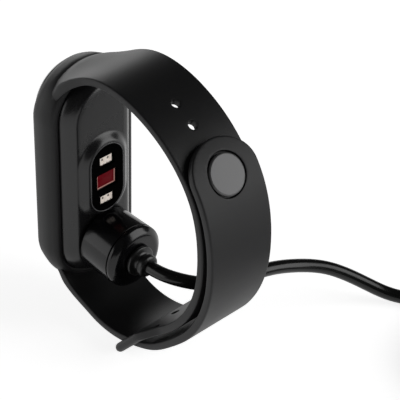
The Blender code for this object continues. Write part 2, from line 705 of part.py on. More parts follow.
def front_stack():
    """Cover glass, its adhesive ring, the display behind it and the plate that carries the display."""
    glass_radius = FLANGE_RADIUS
    front = (
        (0, GLASS_BACK_X), (glass_radius, GLASS_BACK_X), (glass_radius - 0.25 * MM, GLASS_BACK_X - 0.6 * MM),
        (glass_radius - GLASS_INSET, GLASS_FRONT_X), (0, GLASS_FRONT_X),
    )
    piece("front_glass", turned(front, stretch=END_OFFSET), DARK_GLASS, tracker_empty, ALONG_X)
    band_radius = FLANGE_RADIUS - 0.2 * MM
    band_front = ADHESIVE_BACK_X - ADHESIVE_THICKNESS
    band = (
        (band_radius, ADHESIVE_BACK_X), (band_radius, band_front),
        (CAVITY_RADIUS, band_front), (CAVITY_RADIUS, ADHESIVE_BACK_X),
    )
    tape = turned(band, stretch=END_OFFSET, closed=True)
    piece("glass_adhesive", tape, ADHESIVE, tracker_empty, ALONG_X)
    panel_front = GLASS_BACK_X + GAP
    panel = disc(CAVITY_RADIUS - GAP, panel_front, panel_front + DISPLAY_THICKNESS, TURN_STEPS, END_OFFSET)
    piece("display_panel", panel, DISPLAY, tracker_empty, ALONG_X)
    plate_front = panel_front + DISPLAY_THICKNESS + GAP
    plate_back = plate_front + FRAME_PLATE_THICKNESS
    plate = disc(CAVITY_RADIUS - GAP, plate_front, plate_back, TURN_STEPS, END_OFFSET)
    piece("inner_frame", plate, GREY_PLASTIC, tracker_empty, ALONG_X)
    return plate_back


def electronics(plate_back_x):
    """Battery and motor in front of the main board, and its two chips behind it."""
    depth = BATTERY_SIZE[0]
    low = plate_back_x + GAP
    pouch = box(BATTERY_SIZE, 0.4 * MM)
    piece("battery", pouch, POUCH_FOIL, tracker_empty, at(low + depth / 2, 0, BATTERY_CENTRE_Z))
    coin = disc(MOTOR_DIAMETER / 2, low, low + depth, 20)
    piece("vibration_motor", coin, STEEL, tracker_empty, at(0, 0, MOTOR_CENTRE_Z) @ ALONG_X)
    board_x = low + depth + GAP
    board = box((BOARD_THICKNESS, BOARD_WIDTH, BOARD_LENGTH))
    piece("main_board", board, BOARD_GREEN, tracker_empty, at(board_x + BOARD_THICKNESS / 2, 0, 0))
    chip_x = board_x + BOARD_THICKNESS + GAP + CHIP_THICKNESS / 2
    chips = (("processor_chip", PROCESSOR_SIZE, CHIP_CENTRE_Z), ("radio_chip", RADIO_SIZE, -CHIP_CENTRE_Z))
    for name, size, z in chips:
        piece(name, box((CHIP_THICKNESS, size, size)), CHIP_BLACK, tracker_empty, at(chip_x, 0, z))


def optical_sensor():
    """The window in the hump, and behind it the photodiode, the two LEDs and the board that they stand on."""
    pane = disc(WINDOW_RADIUS - GAP, BUMP_HEIGHT - WINDOW_THICKNESS, BUMP_HEIGHT, 26, WINDOW_OFFSET)
    piece("sensor_window", pane, DARK_GLASS, tracker_empty, at(0, 0, WINDOW_CENTRE_Z) @ ALONG_X)
    middle_x = OPTIC_FRONT_X - GAP - OPTIC_THICKNESS / 2
    optics = (("photodiode", DIODE_WIDTH, DIODE_HEIGHT, 0, DIODE_RED),
              ("led_upper", LED_WIDTH, LED_HEIGHT, LED_OFFSET, LED_CREAM),
              ("led_lower", LED_WIDTH, LED_HEIGHT, -LED_OFFSET, LED_CREAM))
    for name, width, height, rise, look in optics:
        package = box((OPTIC_THICKNESS, width, height), 0.1 * MM)
        piece(name, package, look, tracker_empty, at(middle_x, 0, OPTIC_CENTRE_Z + rise))
    board_x = middle_x - OPTIC_THICKNESS / 2 - GAP - SENSOR_BOARD_THICKNESS / 2
    board_width = 2 * (WINDOW_RADIUS - WINDOW_LEDGE - GAP)
    board_length = 2 * (LED_OFFSET + LED_HEIGHT / 2)
    board = box((SENSOR_BOARD_THICKNESS, board_width, board_length))
    piece("sensor_board", board, CHIP_BLACK, tracker_empty, at(board_x, 0, OPTIC_CENTRE_Z))


def charging_contacts():
    """The two gold contacts in the capsule's back, and the two magnets behind it."""
    for side, sign in (("near", -1), ("far", 1)):
        pad = disc(CONTACT_DIAMETER / 2, -CONTACT_HEIGHT, 0)
        place = at(0, sign * CONTACT_SPACING / 2, CHARGER_CENTRE_Z) @ ALONG_X
        piece(f"contact_{side}", pad, GOLD, tracker_empty, place)
    top = -BACK_WALL - GAP
    for end, sign in (("upper", 1), ("lower", -1)):
        magnet = disc(DOCK_MAGNET_DIAMETER / 2, top - DOCK_MAGNET_HEIGHT, top)
        z = CHARGER_CENTRE_Z + sign * DOCK_MAGNET_SPACING / 2
        piece(f"dock_magnet_{end}", magnet, NICKEL, tracker_empty, at(0, 0, z) @ ALONG_X)


# ---- Charger head ----------------------------------------------------------------------------------------

def charger_case():
    """A cup with its closed face towards the capsule, and the cap that closes it behind a narrow groove."""
    inner = CHARGER_RADIUS - CHARGER_WALL
    rim = 0.3 * MM
    floor = CHARGER_STANDOFF + CHARGER_WALL
    cup = (
        (0, floor), (inner, floor), (inner, HOUSING_END_X), (CHARGER_RADIUS - rim, HOUSING_END_X),
        (CHARGER_RADIUS, HOUSING_END_X - rim), (CHARGER_RADIUS, CHARGER_STANDOFF + rim),
        (CHARGER_RADIUS - rim, CHARGER_STANDOFF), (0, CHARGER_STANDOFF),
    )
    housing = piece("charger_housing", turned(cup), BLACK_PLASTIC, charger_empty, CHARGER_AXIS)
    for sign in (-1, 1):
        bore = disc(PIN_DIAMETER / 2 + GAP, -CHARGER_WALL, CHARGER_STANDOFF + 2 * CHARGER_WALL)
        boolean(housing, cutter(bore, at(0, sign * CONTACT_SPACING / 2, CHARGER_CENTRE_Z) @ ALONG_X))
    baked(housing)
    neck = RELIEF_NECK_DIAMETER / 2 + GAP
    rounding = []
    for angle in (0, 0.5, 1.05, math.pi / 2):
        inset = CHARGER_ROUND * (1 - math.sin(angle))
        drop = CHARGER_ROUND * (1 - math.cos(angle))
        rounding.append((CHARGER_RADIUS - inset, CAP_END_X - drop))
    back = [(CHARGER_RADIUS, CAP_START_X + rim), (CHARGER_RADIUS - rim, CAP_START_X), (neck, CAP_START_X)]
    cap = [(neck, CAP_END_X)] + rounding + back
    piece("charger_cap", turned(cap, closed=True), BLACK_PLASTIC, charger_empty, CHARGER_AXIS)


def charger_insides():
    """The magnets behind the head's face, its board, and the two sprung pins."""
    face = CHARGER_STANDOFF + CHARGER_WALL + GAP
    for end, sign in (("upper", 1), ("lower", -1)):
        magnet = disc(DOCK_MAGNET_DIAMETER / 2, face, face + CHARGER_MAGNET_LENGTH)
        z = CHARGER_CENTRE_Z + sign * DOCK_MAGNET_SPACING / 2
        piece(f"charger_magnet_{end}", magnet, NICKEL, charger_empty, at(0, 0, z) @ ALONG_X)
    pin_end = GAP + PIN_LENGTH
    board_x = pin_end + PIN_TRAVEL + GAP
    board = disc(CHARGER_RADIUS - CHARGER_WALL - GAP, board_x, board_x + CHARGER_BOARD_THICKNESS, 22)
    piece("charger_board", board, BOARD_GREEN, charger_empty, CHARGER_AXIS)
    for side, sign in (("near", -1), ("far", 1)):
        radius = PIN_DIAMETER / 2
        nose = radius * 0.55
        profile = ((0, pin_end), (radius, pin_end), (radius, GAP + nose), (nose, GAP), (0, GAP))
        place = at(0, sign * CONTACT_SPACING / 2, CHARGER_CENTRE_Z) @ ALONG_X
        piece(f"pogo_pin_{side}", turned(profile, SMALL_STEPS), GOLD, pin_empties[side], place)


def strain_relief():
    """A stepped sleeve: its plug is in the cap, its collar on the cap's face, its neck round the cord."""
    neck = RELIEF_NECK_DIAMETER / 2
    collar = RELIEF_COLLAR_DIAMETER / 2
    end = CAP_END_X + RELIEF_LENGTH
    seat = CAP_END_X + GAP
    waist = neck * 0.86
    profile = (
        (0, end), (neck * 0.8, end), (neck, end - 0.4 * MM), (neck, end - 1.0 * MM), (waist, end - 1.3 * MM),
        (waist, seat + 1.3 * MM), (collar - 0.3 * MM, seat + 1.1 * MM), (collar, seat + 0.8 * MM),
        (collar, seat), (neck, seat), (neck, CAP_START_X), (0, CAP_START_X),
    )
    piece("strain_relief", turned(profile, 20), BLACK_PLASTIC, charger_empty, CHARGER_AXIS)


# ---- Cord, coil and plug, in final coordinates -----------------------------------------------------------


def resampled(points, step):
    """Evenly spaced points on a smooth curve through the route's own points."""
    route = Path(points)
    count = max(round(route.length / step), 2)
    return [tuple(route.at(route.length * i / count)) for i in range(count + 1)]


def cord():
    """The free stretch, the stretch from the coil to the plug, and the wound coil as one ring."""
    start = Vector((CORD_START_X, 0, CHARGER_CENTRE_Z)) + root.location
    straight = start + Vector((CORD_RADIUS, 0, 0))      # the cord leaves the sleeve in line with it
    route = [tuple(straight)] + [tuple(value * MM for value in point) for point in CORD_ROUTE]
    free = [tuple(start)] + resampled(route, ROUTE_STEP)
    tube("charging_cord", free, CORD_RADIUS, CORD_RUBBER, cord_empty)
    tail = [tuple(value * MM for value in point) for point in TAIL_ROUTE]
    tube("cord_tail", resampled(tail, 0.9 * ROUTE_STEP), CORD_RADIUS, CORD_RUBBER, cord_empty)
    low = COIL_LIFT
    high = COIL_LIFT + COIL_HEIGHT
    soft = 1.2 * MM
    ring = (
        (COIL_INNER_RADIUS + soft, high), (COIL_OUTER_RADIUS - soft, high),
        (COIL_OUTER_RADIUS, high - soft), (COIL_OUTER_RADIUS, low + soft),
        (COIL_OUTER_RADIUS - soft, low), (COIL_INNER_RADIUS + soft, low),
        (COIL_INNER_RADIUS, low + soft), (COIL_INNER_RADIUS, high - soft),
    )
    piece("cord_coil", turned(ring, 26, closed=True), CORD_RUBBER, cord_empty, at(*COIL_CENTRE, 0))


def cord_tie():
    """A flat strip once round the coil."""
    inner_x = (COIL_OUTER_RADIUS - COIL_INNER_RADIUS) / 2 + GAP
    inner_z = COIL_HEIGHT / 2 + GAP
    outer = box((2 * (inner_x + TIE_THICKNESS), TIE_WIDTH, 2 * (inner_z + TIE_THICKNESS)), 0.3 * MM)
    middle = (COIL_OUTER_RADIUS + COIL_INNER_RADIUS) / 2
    centre = at(*COIL_CENTRE, COIL_LIFT + COIL_HEIGHT / 2)
    place = centre @ Matrix.Rotation(TIE_ANGLE, 4, "Z") @ at(middle, 0, 0)
    tie = piece("cord_tie", outer, TIE_PLASTIC, cord_empty, place)
    hole = cutter(box((2 * inner_x, 2 * TIE_WIDTH, 2 * inner_z)), Matrix())
    hole.parent = None
    hole.matrix_local = place
    boolean(tie, hole)
    baked(tie)


def usb_plug():
    """Neck and grip in one moulding, the metal shell in front of it and the tongue inside the shell."""
    length, height = GRIP_SIZE[1:]
    middle_z = height / 2
    grip_start = PLUG_START_Y - PLUG_NECK_LENGTH
    grip_end = grip_start - length
    middle = at(PLUG_CENTRE_X, grip_start - length / 2, middle_z)
    grip = piece("usb_grip", box(GRIP_SIZE, 1.2 * MM), BLACK_PLASTIC, cord_empty, middle)
    neck = PLUG_NECK_DIAMETER / 2
    root_y = grip_start - 1.0 * MM                       # the neck goes this deep into the grip
    taper = ((0, PLUG_START_Y), (neck * 0.72, PLUG_START_Y), (neck, grip_start), (neck, root_y), (0, root_y))
    sleeve = turned(taper, SMALL_STEPS)
    along_y = Matrix.Rotation(-math.pi / 2, 4, "X")
    cone = cutter(sleeve, Matrix())
    cone.parent = None
    cone.matrix_local = at(PLUG_CENTRE_X, 0, middle_z) @ along_y
    boolean(grip, cone, "UNION")
    baked(grip)
    shell_width, shell_length, shell_height = USB_SIZE
    shell_y = grip_end - GAP - shell_length / 2
    place = at(PLUG_CENTRE_X, shell_y, middle_z)
    shell = piece("usb_shell", box(USB_SIZE, 0.2 * MM), NICKEL, cord_empty, place)
    bore = (shell_width - 2 * USB_WALL, 1.2 * shell_length, shell_height - 2 * USB_WALL)
    inside = cutter(box(bore), Matrix())
    inside.parent = None
    inside.matrix_local = place
    boolean(shell, inside)
    baked(shell)
    clear = 2 * (USB_WALL + GAP)
    tongue = (shell_width - clear, shell_length - 0.8 * MM, TONGUE_THICKNESS)
    rise = (shell_height - clear - TONGUE_THICKNESS) / 2
    piece("usb_tongue", box(tongue), PALE_PLASTIC, cord_empty, place @ at(0, 0.4 * MM, rise))


strap_frame()
upper_strap()
lower_strap()
keeper_loop()
strap_tip()
stud()
capsule_shell()
electronics(front_stack())
optical_sensor()
charging_contacts()
charger_case()
charger_insides()
strain_relief()
cord()
cord_tie()
usb_plug()
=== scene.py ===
# %% [markdown]
# # A fitness tracker band with its magnetic charging lead
# The band is a slim black capsule held by a ring of charcoal silicone, with two arms of the same silicone
# that close into a loop. A metal snap button joins the arms, and a round bar keeps the outer one. The
# round head of a charging lead is docked on the capsule's back, under the pulse sensor.
#
# The imported model is loaded first. It is the fixed frame: it says where every piece is, and every new
# piece here but the outer arm rides on one of its bodies.

import math

import bmesh
import bpy
import numpy as np
from mathutils import Matrix, Vector


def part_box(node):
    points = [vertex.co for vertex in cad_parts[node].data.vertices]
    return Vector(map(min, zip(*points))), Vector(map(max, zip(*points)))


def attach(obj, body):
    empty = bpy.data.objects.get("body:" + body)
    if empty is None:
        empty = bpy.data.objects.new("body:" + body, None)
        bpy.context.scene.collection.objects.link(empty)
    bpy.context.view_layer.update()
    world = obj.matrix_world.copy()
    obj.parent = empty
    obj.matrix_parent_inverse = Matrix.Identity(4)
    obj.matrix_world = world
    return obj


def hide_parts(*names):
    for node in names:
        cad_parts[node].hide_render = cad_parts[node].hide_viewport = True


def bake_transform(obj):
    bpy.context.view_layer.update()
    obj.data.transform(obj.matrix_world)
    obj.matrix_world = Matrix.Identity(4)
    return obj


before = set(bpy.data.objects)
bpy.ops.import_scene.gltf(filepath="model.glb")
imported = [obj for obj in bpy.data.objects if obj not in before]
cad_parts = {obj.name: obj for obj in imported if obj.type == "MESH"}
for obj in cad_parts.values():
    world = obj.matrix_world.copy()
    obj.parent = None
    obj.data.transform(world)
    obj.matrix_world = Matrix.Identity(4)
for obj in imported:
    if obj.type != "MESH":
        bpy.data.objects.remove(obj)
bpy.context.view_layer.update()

# %% [markdown]
# Lengths below are in millimetres on a workbench whose origin is the middle of the capsule's flat back: X
# runs from the capsule towards the clasp, Y across the strap and Z up. The frame says where that point
# is. A finished piece is moved from the bench to its place once, at the end, so its object can stay at
# the origin.

# %% The workbench and its place in the frame
MM = 0.001
contact_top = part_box("contact_near")[1]
glass_low, glass_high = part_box("front_glass")
ORIGIN = Vector((contact_top.x, 0, (glass_low.z + glass_high.z) / 2))
BENCH_TO_FRAME = Matrix.Translation(ORIGIN) @ Matrix.Scale(MM, 4)
print("bench origin in the frame, mm:", [round(v / MM, 2) for v in ORIGIN])

# %% [markdown]
# ## Camera
# A long lens looks at the back of the capsule from above and to one side. It is placed by its distance,
# its turn round the object and its height, and it is rolled slightly.

# %% Camera
LENS = 162.0
DISTANCE = 0.32995
TARGET = (27.214, 0, 9.998)
AZIMUTH = math.radians(45.77)
ELEVATION = math.radians(37.01)
ROLL = math.radians(1.55)
target = ORIGIN + Vector(TARGET) * MM
flat = math.cos(ELEVATION)
back = Vector((flat * math.sin(AZIMUTH), -flat * math.cos(AZIMUTH), math.sin(ELEVATION)))
level = Vector((math.cos(AZIMUTH), math.sin(AZIMUTH), 0))
upward = back.cross(level)
right = math.cos(ROLL) * level + math.sin(ROLL) * upward
upward = back.cross(right)
camera_data = bpy.data.cameras.new("camera")
camera_data.lens = LENS
camera = bpy.data.objects.new("camera", camera_data)
bpy.context.scene.collection.objects.link(camera)
place = Matrix((right, upward, back)).transposed().to_4x4()
place.translation = target + DISTANCE * back
camera.matrix_world = place
bpy.context.scene.camera = camera
print("camera at", [round(v, 4) for v in camera.location])

# %% [markdown]
# ## Mesh helpers
# Most pieces are turned shapes, or turned shapes whose two halves are pulled apart into a round-ended
# slot. A list of rings joined with quads makes all of them, and it gives full control of where the points
# lie. Modifiers are applied on the bench, so that what is placed in the frame is a plain mesh.


# %% Helpers that make meshes on the bench
def on_bench(name, mesh):
    """An object for this mesh, in the scene and at the origin."""
    obj = bpy.data.objects.new(name, mesh)
    bpy.context.scene.collection.objects.link(obj)
    return obj


def tidied(mesh, distance=1e-4):
    """Merges doubled points and turns the faces outwards."""
    work = bmesh.new()
    work.from_mesh(mesh)
    bmesh.ops.remove_doubles(work, verts=work.verts, dist=distance)
    bmesh.ops.dissolve_degenerate(work, edges=work.edges, dist=distance)
    bmesh.ops.recalc_face_normals(work, faces=work.faces)
    work.to_mesh(mesh)
    work.free()
    return mesh


def skin(name, rings, closed=False):
    """Joins rings of points with quads. The end rings are capped, or joined to each other if closed."""
    rings = np.asarray(rings, float)
    count, size = rings.shape[:2]
    faces = []
    for i in range(count if closed else count - 1):
        here = i * size
        there = ((i + 1) % count) * size
        for j in range(size):
            k = (j + 1) % size
            faces.append((here + j, here + k, there + k, there + j))
    if not closed:
        faces.append(tuple(range(size)))
        faces.append(tuple(range((count - 1) * size, count * size)))
    mesh = bpy.data.meshes.new(name)
    mesh.from_pydata(rings.reshape(-1, 3).tolist(), [], faces)
    return on_bench(name, tidied(mesh))


def softened(points, radii, steps=5, closed=False):
    """Rounds the corners of an outline. radii is one number for all corners, or one for each point."""
    points = np.asarray(points, float)
    count = len(points)
    radii = np.broadcast_to(radii, count)
    made = []
    for i, point in enumerate(points):
        ends = not closed and i in (0, count - 1)
        if ends or radii[i] <= 0:
            made.append(point)
            continue
        before = points[i - 1] - point
        after = points[(i + 1) % count] - point
        reach = min(radii[i], 0.48 * np.linalg.norm(before), 0.48 * np.linalg.norm(after))
        first = point + before / np.linalg.norm(before) * reach
        last = point + after / np.linalg.norm(after) * reach
        for t in np.linspace(0, 1, steps):
            made.append((1 - t) ** 2 * first + 2 * t * (1 - t) * point + t ** 2 * last)
    return np.array(made)


def slot_loop(radius, reach, arc=24, straight=1):
    """(y, z) points round a slot: two half circles, pulled apart by reach each way along Z."""
    top = [(radius * math.cos(a), reach + radius * math.sin(a)) for a in np.linspace(0, math.pi, arc)]
    left = [(-radius, z) for z in np.linspace(reach, -reach, straight + 1)[1:-1]]
    bottom = [(-y, -z) for y, z in top]
    return np.array(top + left + bottom + [(-y, -z) for y, z in left])


def slotted(name, profile, reach=0.0, arc=24, straight=1, closed=False, centre=(0, 0)):
    """Turns a profile of (radius, x) points about X, with its halves pulled apart by reach along Z."""
    rings = []
    for radius, x in profile:
        loop = slot_loop(max(radius, 0), reach, arc, straight) + np.array(centre)
        rings.append([(x, y, z) for y, z in loop])
    return skin(name, rings, closed)


# %% [markdown]
# The next helpers change a piece that is already on the bench. Each adds a modifier and applies it at
# once. The last one moves a finished piece into the frame, and tells the frame what the piece rides on
# and stands for.


# %% Helpers that change a piece and place it
def applied(obj):
    """Replaces an object's mesh with its evaluated one and drops its modifiers."""
    bpy.context.view_layer.update()
    depsgraph = bpy.context.evaluated_depsgraph_get()
    mesh = bpy.data.meshes.new_from_object(obj.evaluated_get(depsgraph))
    obj.modifiers.clear()
    obj.data = mesh
    return obj


def combined(obj, other, operation):
    """Cuts, joins or intersects with another object, which is used up."""
    step = obj.modifiers.new(operation.title(), "BOOLEAN")
    step.operation = operation
    step.solver = "EXACT"
    step.object = other
    applied(obj)
    bpy.data.objects.remove(other, do_unlink=True)
    return obj


def rounded_edges(obj, width, segments=3, angle=40):
    """Bevels every edge that is sharper than an angle."""
    step = obj.modifiers.new("Round", "BEVEL")
    step.width = width
    step.segments = segments
    step.limit_method = "ANGLE"
    step.angle_limit = math.radians(angle)
    return applied(obj)


def block(name, size, centre=(0, 0, 0), bevel=0.0, segments=3):
    """A box with rounded edges."""
    work = bmesh.new()
    bmesh.ops.create_cube(work, size=1, matrix=Matrix.Translation(centre) @ Matrix.Diagonal((*size, 1)))
    mesh = bpy.data.meshes.new(name)
    work.to_mesh(mesh)
    work.free()
    obj = on_bench(name, mesh)
    return rounded_edges(obj, bevel, segments) if bevel else obj


def placed(obj, body, material, replaces=(), sharp=38, units=BENCH_TO_FRAME):
    """Moves a finished piece from the bench into the frame, and gives it its finish and its body."""
    obj.data.transform(units)
    obj.data.materials.clear()
    obj.data.materials.append(material)
    obj.data.shade_smooth()
    obj.data.set_sharp_from_angle(angle=math.radians(sharp))
    if body:
        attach(obj, body)
    if replaces:
        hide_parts(*replaces)
    print(f"{obj.name}: {len(obj.data.polygons)} faces")
    return obj


# %% [markdown]
# ## Finishes
# Everything here is black or charcoal, so the finishes differ in their gloss and in their fine surface.
# Two node groups are shared by all of them: grain, which gives a fine height and a slow change of tone,
# and wear, which lightens some small patches as handling does.


# %% Shared node groups
def new_group(name, inputs, outputs):
    """An empty shader node group with float inputs and named outputs."""
    group = bpy.data.node_groups.new(name, "ShaderNodeTree")
    for label, value in inputs.items():
        socket = group.interface.new_socket(label, in_out="INPUT", socket_type="NodeSocketFloat")
        socket.default_value = value
    for label, kind in outputs.items():
        group.interface.new_socket(label, in_out="OUTPUT", socket_type=kind)
    return group, group.nodes.new("NodeGroupInput"), group.nodes.new("NodeGroupOutput")


def math_node(nodes, links, operation, *values):
    """A math node whose inputs are numbers or sockets."""
    node = nodes.new("ShaderNodeMath")
    node.operation = operation
    for socket, value in zip(node.inputs, values):
        if isinstance(value, (int, float)):
            socket.default_value = value
        else:
            links.new(value, socket)
    return node.outputs[0]


def grain_group():
    """Fine grain: Height for a bump, and Tone, a slow change about 1."""
    inputs = {"Scale": 2500.0, "Tone Scale": 90.0, "Tone Amount": 0.1}
    outputs = {"Height": "NodeSocketFloat", "Tone": "NodeSocketFloat"}
    group, source, sink = new_group("surface_grain", inputs, outputs)
    nodes, links = group.nodes, group.links
    where = nodes.new("ShaderNodeTexCoord").outputs["Object"]
    fine = nodes.new("ShaderNodeTexNoise")
    fine.inputs["Detail"].default_value = 3.0
    broad = nodes.new("ShaderNodeTexNoise")
    broad.inputs["Detail"].default_value = 4.0
    for noise, label in ((fine, "Scale"), (broad, "Tone Scale")):
        links.new(where, noise.inputs["Vector"])
        links.new(source.outputs[label], noise.inputs["Scale"])
    links.new(fine.outputs["Fac"], sink.inputs["Height"])
    centred = math_node(nodes, links, "SUBTRACT", broad.outputs["Fac"], 0.5)
    swing = math_node(nodes, links, "MULTIPLY", centred, source.outputs["Tone Amount"])
    tone = math_node(nodes, links, "MULTIPLY_ADD", swing, 2.0, 1.0)
    links.new(tone, sink.inputs["Tone"])
    return group


def wear_group():
    """Wear: a mask of sparse small patches, as handling and dust leave them."""
    inputs = {"Scale": 400.0, "Amount": 0.2}
    group, source, sink = new_group("light_wear", inputs, {"Mask": "NodeSocketFloat"})
    nodes, links = group.nodes, group.links
    where = nodes.new("ShaderNodeTexCoord").outputs["Object"]
    patches = nodes.new("ShaderNodeTexNoise")
    patches.inputs["Detail"].default_value = 6.0
    patches.inputs["Roughness"].default_value = 0.65
    links.new(where, patches.inputs["Vector"])
    links.new(source.outputs["Scale"], patches.inputs["Scale"])
    ramp = nodes.new("ShaderNodeMapRange")
    ramp.inputs["From Min"].default_value = 0.56
    ramp.inputs["From Max"].default_value = 0.78
    links.new(patches.outputs["Fac"], ramp.inputs["Value"])
    mask = math_node(nodes, links, "MULTIPLY", ramp.outputs["Result"], source.outputs["Amount"])
    links.new(mask, sink.inputs["Mask"])
    return group


GRAIN = grain_group()
WEAR = wear_group()
print("shared groups:", GRAIN.name, WEAR.name)


# %% [markdown]
# One function builds a moulded or metal finish from those groups. The tone multiplies the base colour,
# the wear mixes in a lighter one and adds a little roughness, and the fine height goes through a Bump
# node. Numbers that are the same all over, such as the coat or the sheen, are set straight on the
# Principled shader.


# %% A finish built from grain and wear
ROUGH_SWING = 0.12


def finish(name, color, roughness, metallic=0.0, grain=2500.0, bump=0.05, tone=0.12, wear=0.12, worn=None,
           **constants):
    """A procedural material. constants are Principled inputs that are the same all over the surface."""
    made = bpy.data.materials.new(name)
    made.use_nodes = True
    nodes, links = made.node_tree.nodes, made.node_tree.links
    shader = nodes["Principled BSDF"]
    shader.inputs["Metallic"].default_value = metallic
    for label, value in constants.items():
        shader.inputs[label.replace("_", " ")].default_value = value
    grained = nodes.new("ShaderNodeGroup")
    grained.node_tree = GRAIN
    grained.inputs["Scale"].default_value = grain
    grained.inputs["Tone Amount"].default_value = tone
    patches = nodes.new("ShaderNodeGroup")
    patches.node_tree = WEAR
    patches.inputs["Amount"].default_value = wear
    toned = nodes.new("ShaderNodeMix")
    toned.data_type = "RGBA"
    toned.inputs["A"].default_value = (*color, 1)
    lighter = tuple(min(1, 2.2 * channel + 0.01) for channel in color)
    toned.inputs["B"].default_value = (*(worn or lighter), 1)
    links.new(patches.outputs["Mask"], toned.inputs["Factor"])
    shaded = nodes.new("ShaderNodeVectorMath")
    shaded.operation = "SCALE"
    links.new(toned.outputs["Result"], shaded.inputs[0])
    links.new(grained.outputs["Tone"], shaded.inputs["Scale"])
    links.new(shaded.outputs["Vector"], shader.inputs["Base Color"])
    swing = math_node(nodes, links, "MULTIPLY_ADD", patches.outputs["Mask"], ROUGH_SWING, roughness)
    uneven = math_node(nodes, links, "MULTIPLY", swing, grained.outputs["Tone"])
    links.new(uneven, shader.inputs["Roughness"])
    relief = nodes.new("ShaderNodeBump")
    relief.inputs["Strength"].default_value = bump
    relief.inputs["Distance"].default_value = 0.0001
    links.new(grained.outputs["Height"], relief.inputs["Height"])
    links.new(relief.outputs["Normal"], shader.inputs["Normal"])
    return made


SILICONE = finish("charcoal_silicone", (0.012, 0.012, 0.0125), 0.46, grain=3800, bump=0.10, tone=0.10,
                  wear=0.10, Specular_IOR_Level=0.25)
SHELL = finish("satin_shell", (0.006, 0.006, 0.0065), 0.27, grain=3200, bump=0.03, tone=0.12, wear=0.05)
GLOSS = finish("charger_gloss", (0.003, 0.003, 0.0035), 0.17, grain=2600, bump=0.03, tone=0.12, wear=0.05,
               Specular_IOR_Level=0.38)
RELIEF = finish("relief_rubber", (0.009, 0.009, 0.009), 0.32, grain=3000, bump=0.06)
JACKET = finish("cord_jacket", (0.005, 0.005, 0.005), 0.2, grain=1500, bump=0.05, tone=0.15, wear=0.05,
                Specular_IOR_Level=0.35)
BUTTON = finish("button_metal", (0.085, 0.085, 0.086), 0.42, metallic=0.55, grain=5200, bump=0.08, tone=0.05,
                wear=0.05)
STEEL = finish("bright_steel", (0.62, 0.62, 0.63), 0.24, metallic=1.0, grain=2200, bump=0.06, tone=0.06,
               wear=0.15)
GOLD = finish("gold_plate", (0.83, 0.60, 0.25), 0.24, metallic=1.0, grain=2600, bump=0.06, tone=0.08)
GLASS = finish("cover_glass", (0.004, 0.004, 0.005), 0.045, grain=900, bump=0.0, tone=0.1, wear=0.05,
               Coat_Weight=0.6, Coat_Roughness=0.03)
GRIP = finish("plug_grip_plastic", (0.010, 0.010, 0.011), 0.38, grain=3000, bump=0.10)
WHITE = finish("white_insulator", (0.80, 0.80, 0.78), 0.35, grain=2000, bump=0.04, tone=0.04, wear=0.02)
# This ceramic gets a painted glow further down, where the light packages are made.
CERAMIC_WITH_PAINTED_GLOW = finish("cream_ceramic_painted_glow", (0.70, 0.64, 0.58), 0.4, grain=6000, bump=0.10, tone=0.10, wear=0.05)
WOVEN = finish("woven_tie", (0.012, 0.012, 0.013), 0.75, grain=5000, bump=0.35, tone=0.2, wear=0.2)
print("finishes made:", len(bpy.data.materials))

# %% [markdown]
# ## Charging lead
# A cord is one length of something flexible, so its real length comes first. This lead is about 0.44 m
# long and 2.8 mm thick. It leaves the charger straight, sinks under its own weight and lies on the
# surface, and the rest is wound into a neat coil of two layers, held by a tie. The free stretch is a list
# of given points, in the frame's millimetres; the coil's turns are worked out. A smooth curve
# through the points keeps it from looking like bent wire.

# %% The route of the lead
CORD_DIAMETER = 2.8
CORD_RADIUS = CORD_DIAMETER / 2
CORD_INSET = 1.4
FREE_ROUTE = [
    (3.5, 0.3, 17.1), (6.6, 2.0, 16.7), (9.2, 4.6, 16.1), (11.0, 8.4, 15.4), (11.9, 13.2, 14.5),
    (12.6, 20.0, 13.3), (14.0, 27.0, 11.3), (16.6, 32.7, 9.3), (19.2, 36.4, 7.1), (22.4, 40.0, 4.3),
    (25.6, 42.9, 2.3), (30.2, 46.6, 1.5), (35.0, 50.6, 1.5),
]
TAIL_ROUTE = [(74.0, 35.2, 3.9), (75.1, 31.0, 3.9), (75.3, 25.4, 3.8)]
tie_low, tie_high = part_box("cord_tie")
coil_low, coil_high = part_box("cord_coil")
sleeve_low, sleeve_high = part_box("strain_relief")
sleeve_z = (sleeve_low.z + sleeve_high.z) / 2 / MM
cord_start = (sleeve_high.x / MM - CORD_INSET, 0.0, sleeve_z)
coil_centre = np.array([(coil_low.x + coil_high.x) / 2, (coil_low.y + coil_high.y) / 2]) / MM
coil_radius = (coil_high.x - coil_low.x) / 2 / MM
TIE_ANGLE = math.radians(-70)
COIL_START = math.radians(140)
COIL_TURNS = 3.36
POINTS_PER_TURN = 24
COIL_LOW = 1.5
TIE_LIFT, TIE_LIFT_ANGLE = 0.8, 0.6
IN_AT, UP_AT, OUT_AT = 0.85, 1.85, 2.85
CHANGE = 0.3


def eased(value):
    """Smooth step from 0 to 1."""
    value = min(max(value, 0), 1)
    return value * value * (3 - 2 * value)


def coil_point(turned):
    """A point of the coil after so many turns: the outer bottom turn, the inner two, the outer top one."""
    inward = eased((turned - IN_AT) / CHANGE) - eased((turned - OUT_AT) / CHANGE)
    raised = eased((turned - UP_AT) / CHANGE)
    angle = COIL_START - 2 * math.pi * turned
    radius = coil_radius - CORD_RADIUS - CORD_DIAMETER * inward
    off_tie = math.remainder(angle - TIE_ANGLE, 2 * math.pi)
    low = COIL_LOW + TIE_LIFT * math.exp(-(off_tie / TIE_LIFT_ANGLE) ** 2)
    x, y = coil_centre + radius * np.array([math.cos(angle), math.sin(angle)])
    return x, y, low + CORD_DIAMETER * raised


coil_route = [coil_point(t) for t in np.linspace(0, COIL_TURNS, round(COIL_TURNS * POINTS_PER_TURN) + 1)]
lead_route = [cord_start] + FREE_ROUTE + coil_route + TAIL_ROUTE
print("route points:", len(lead_route))


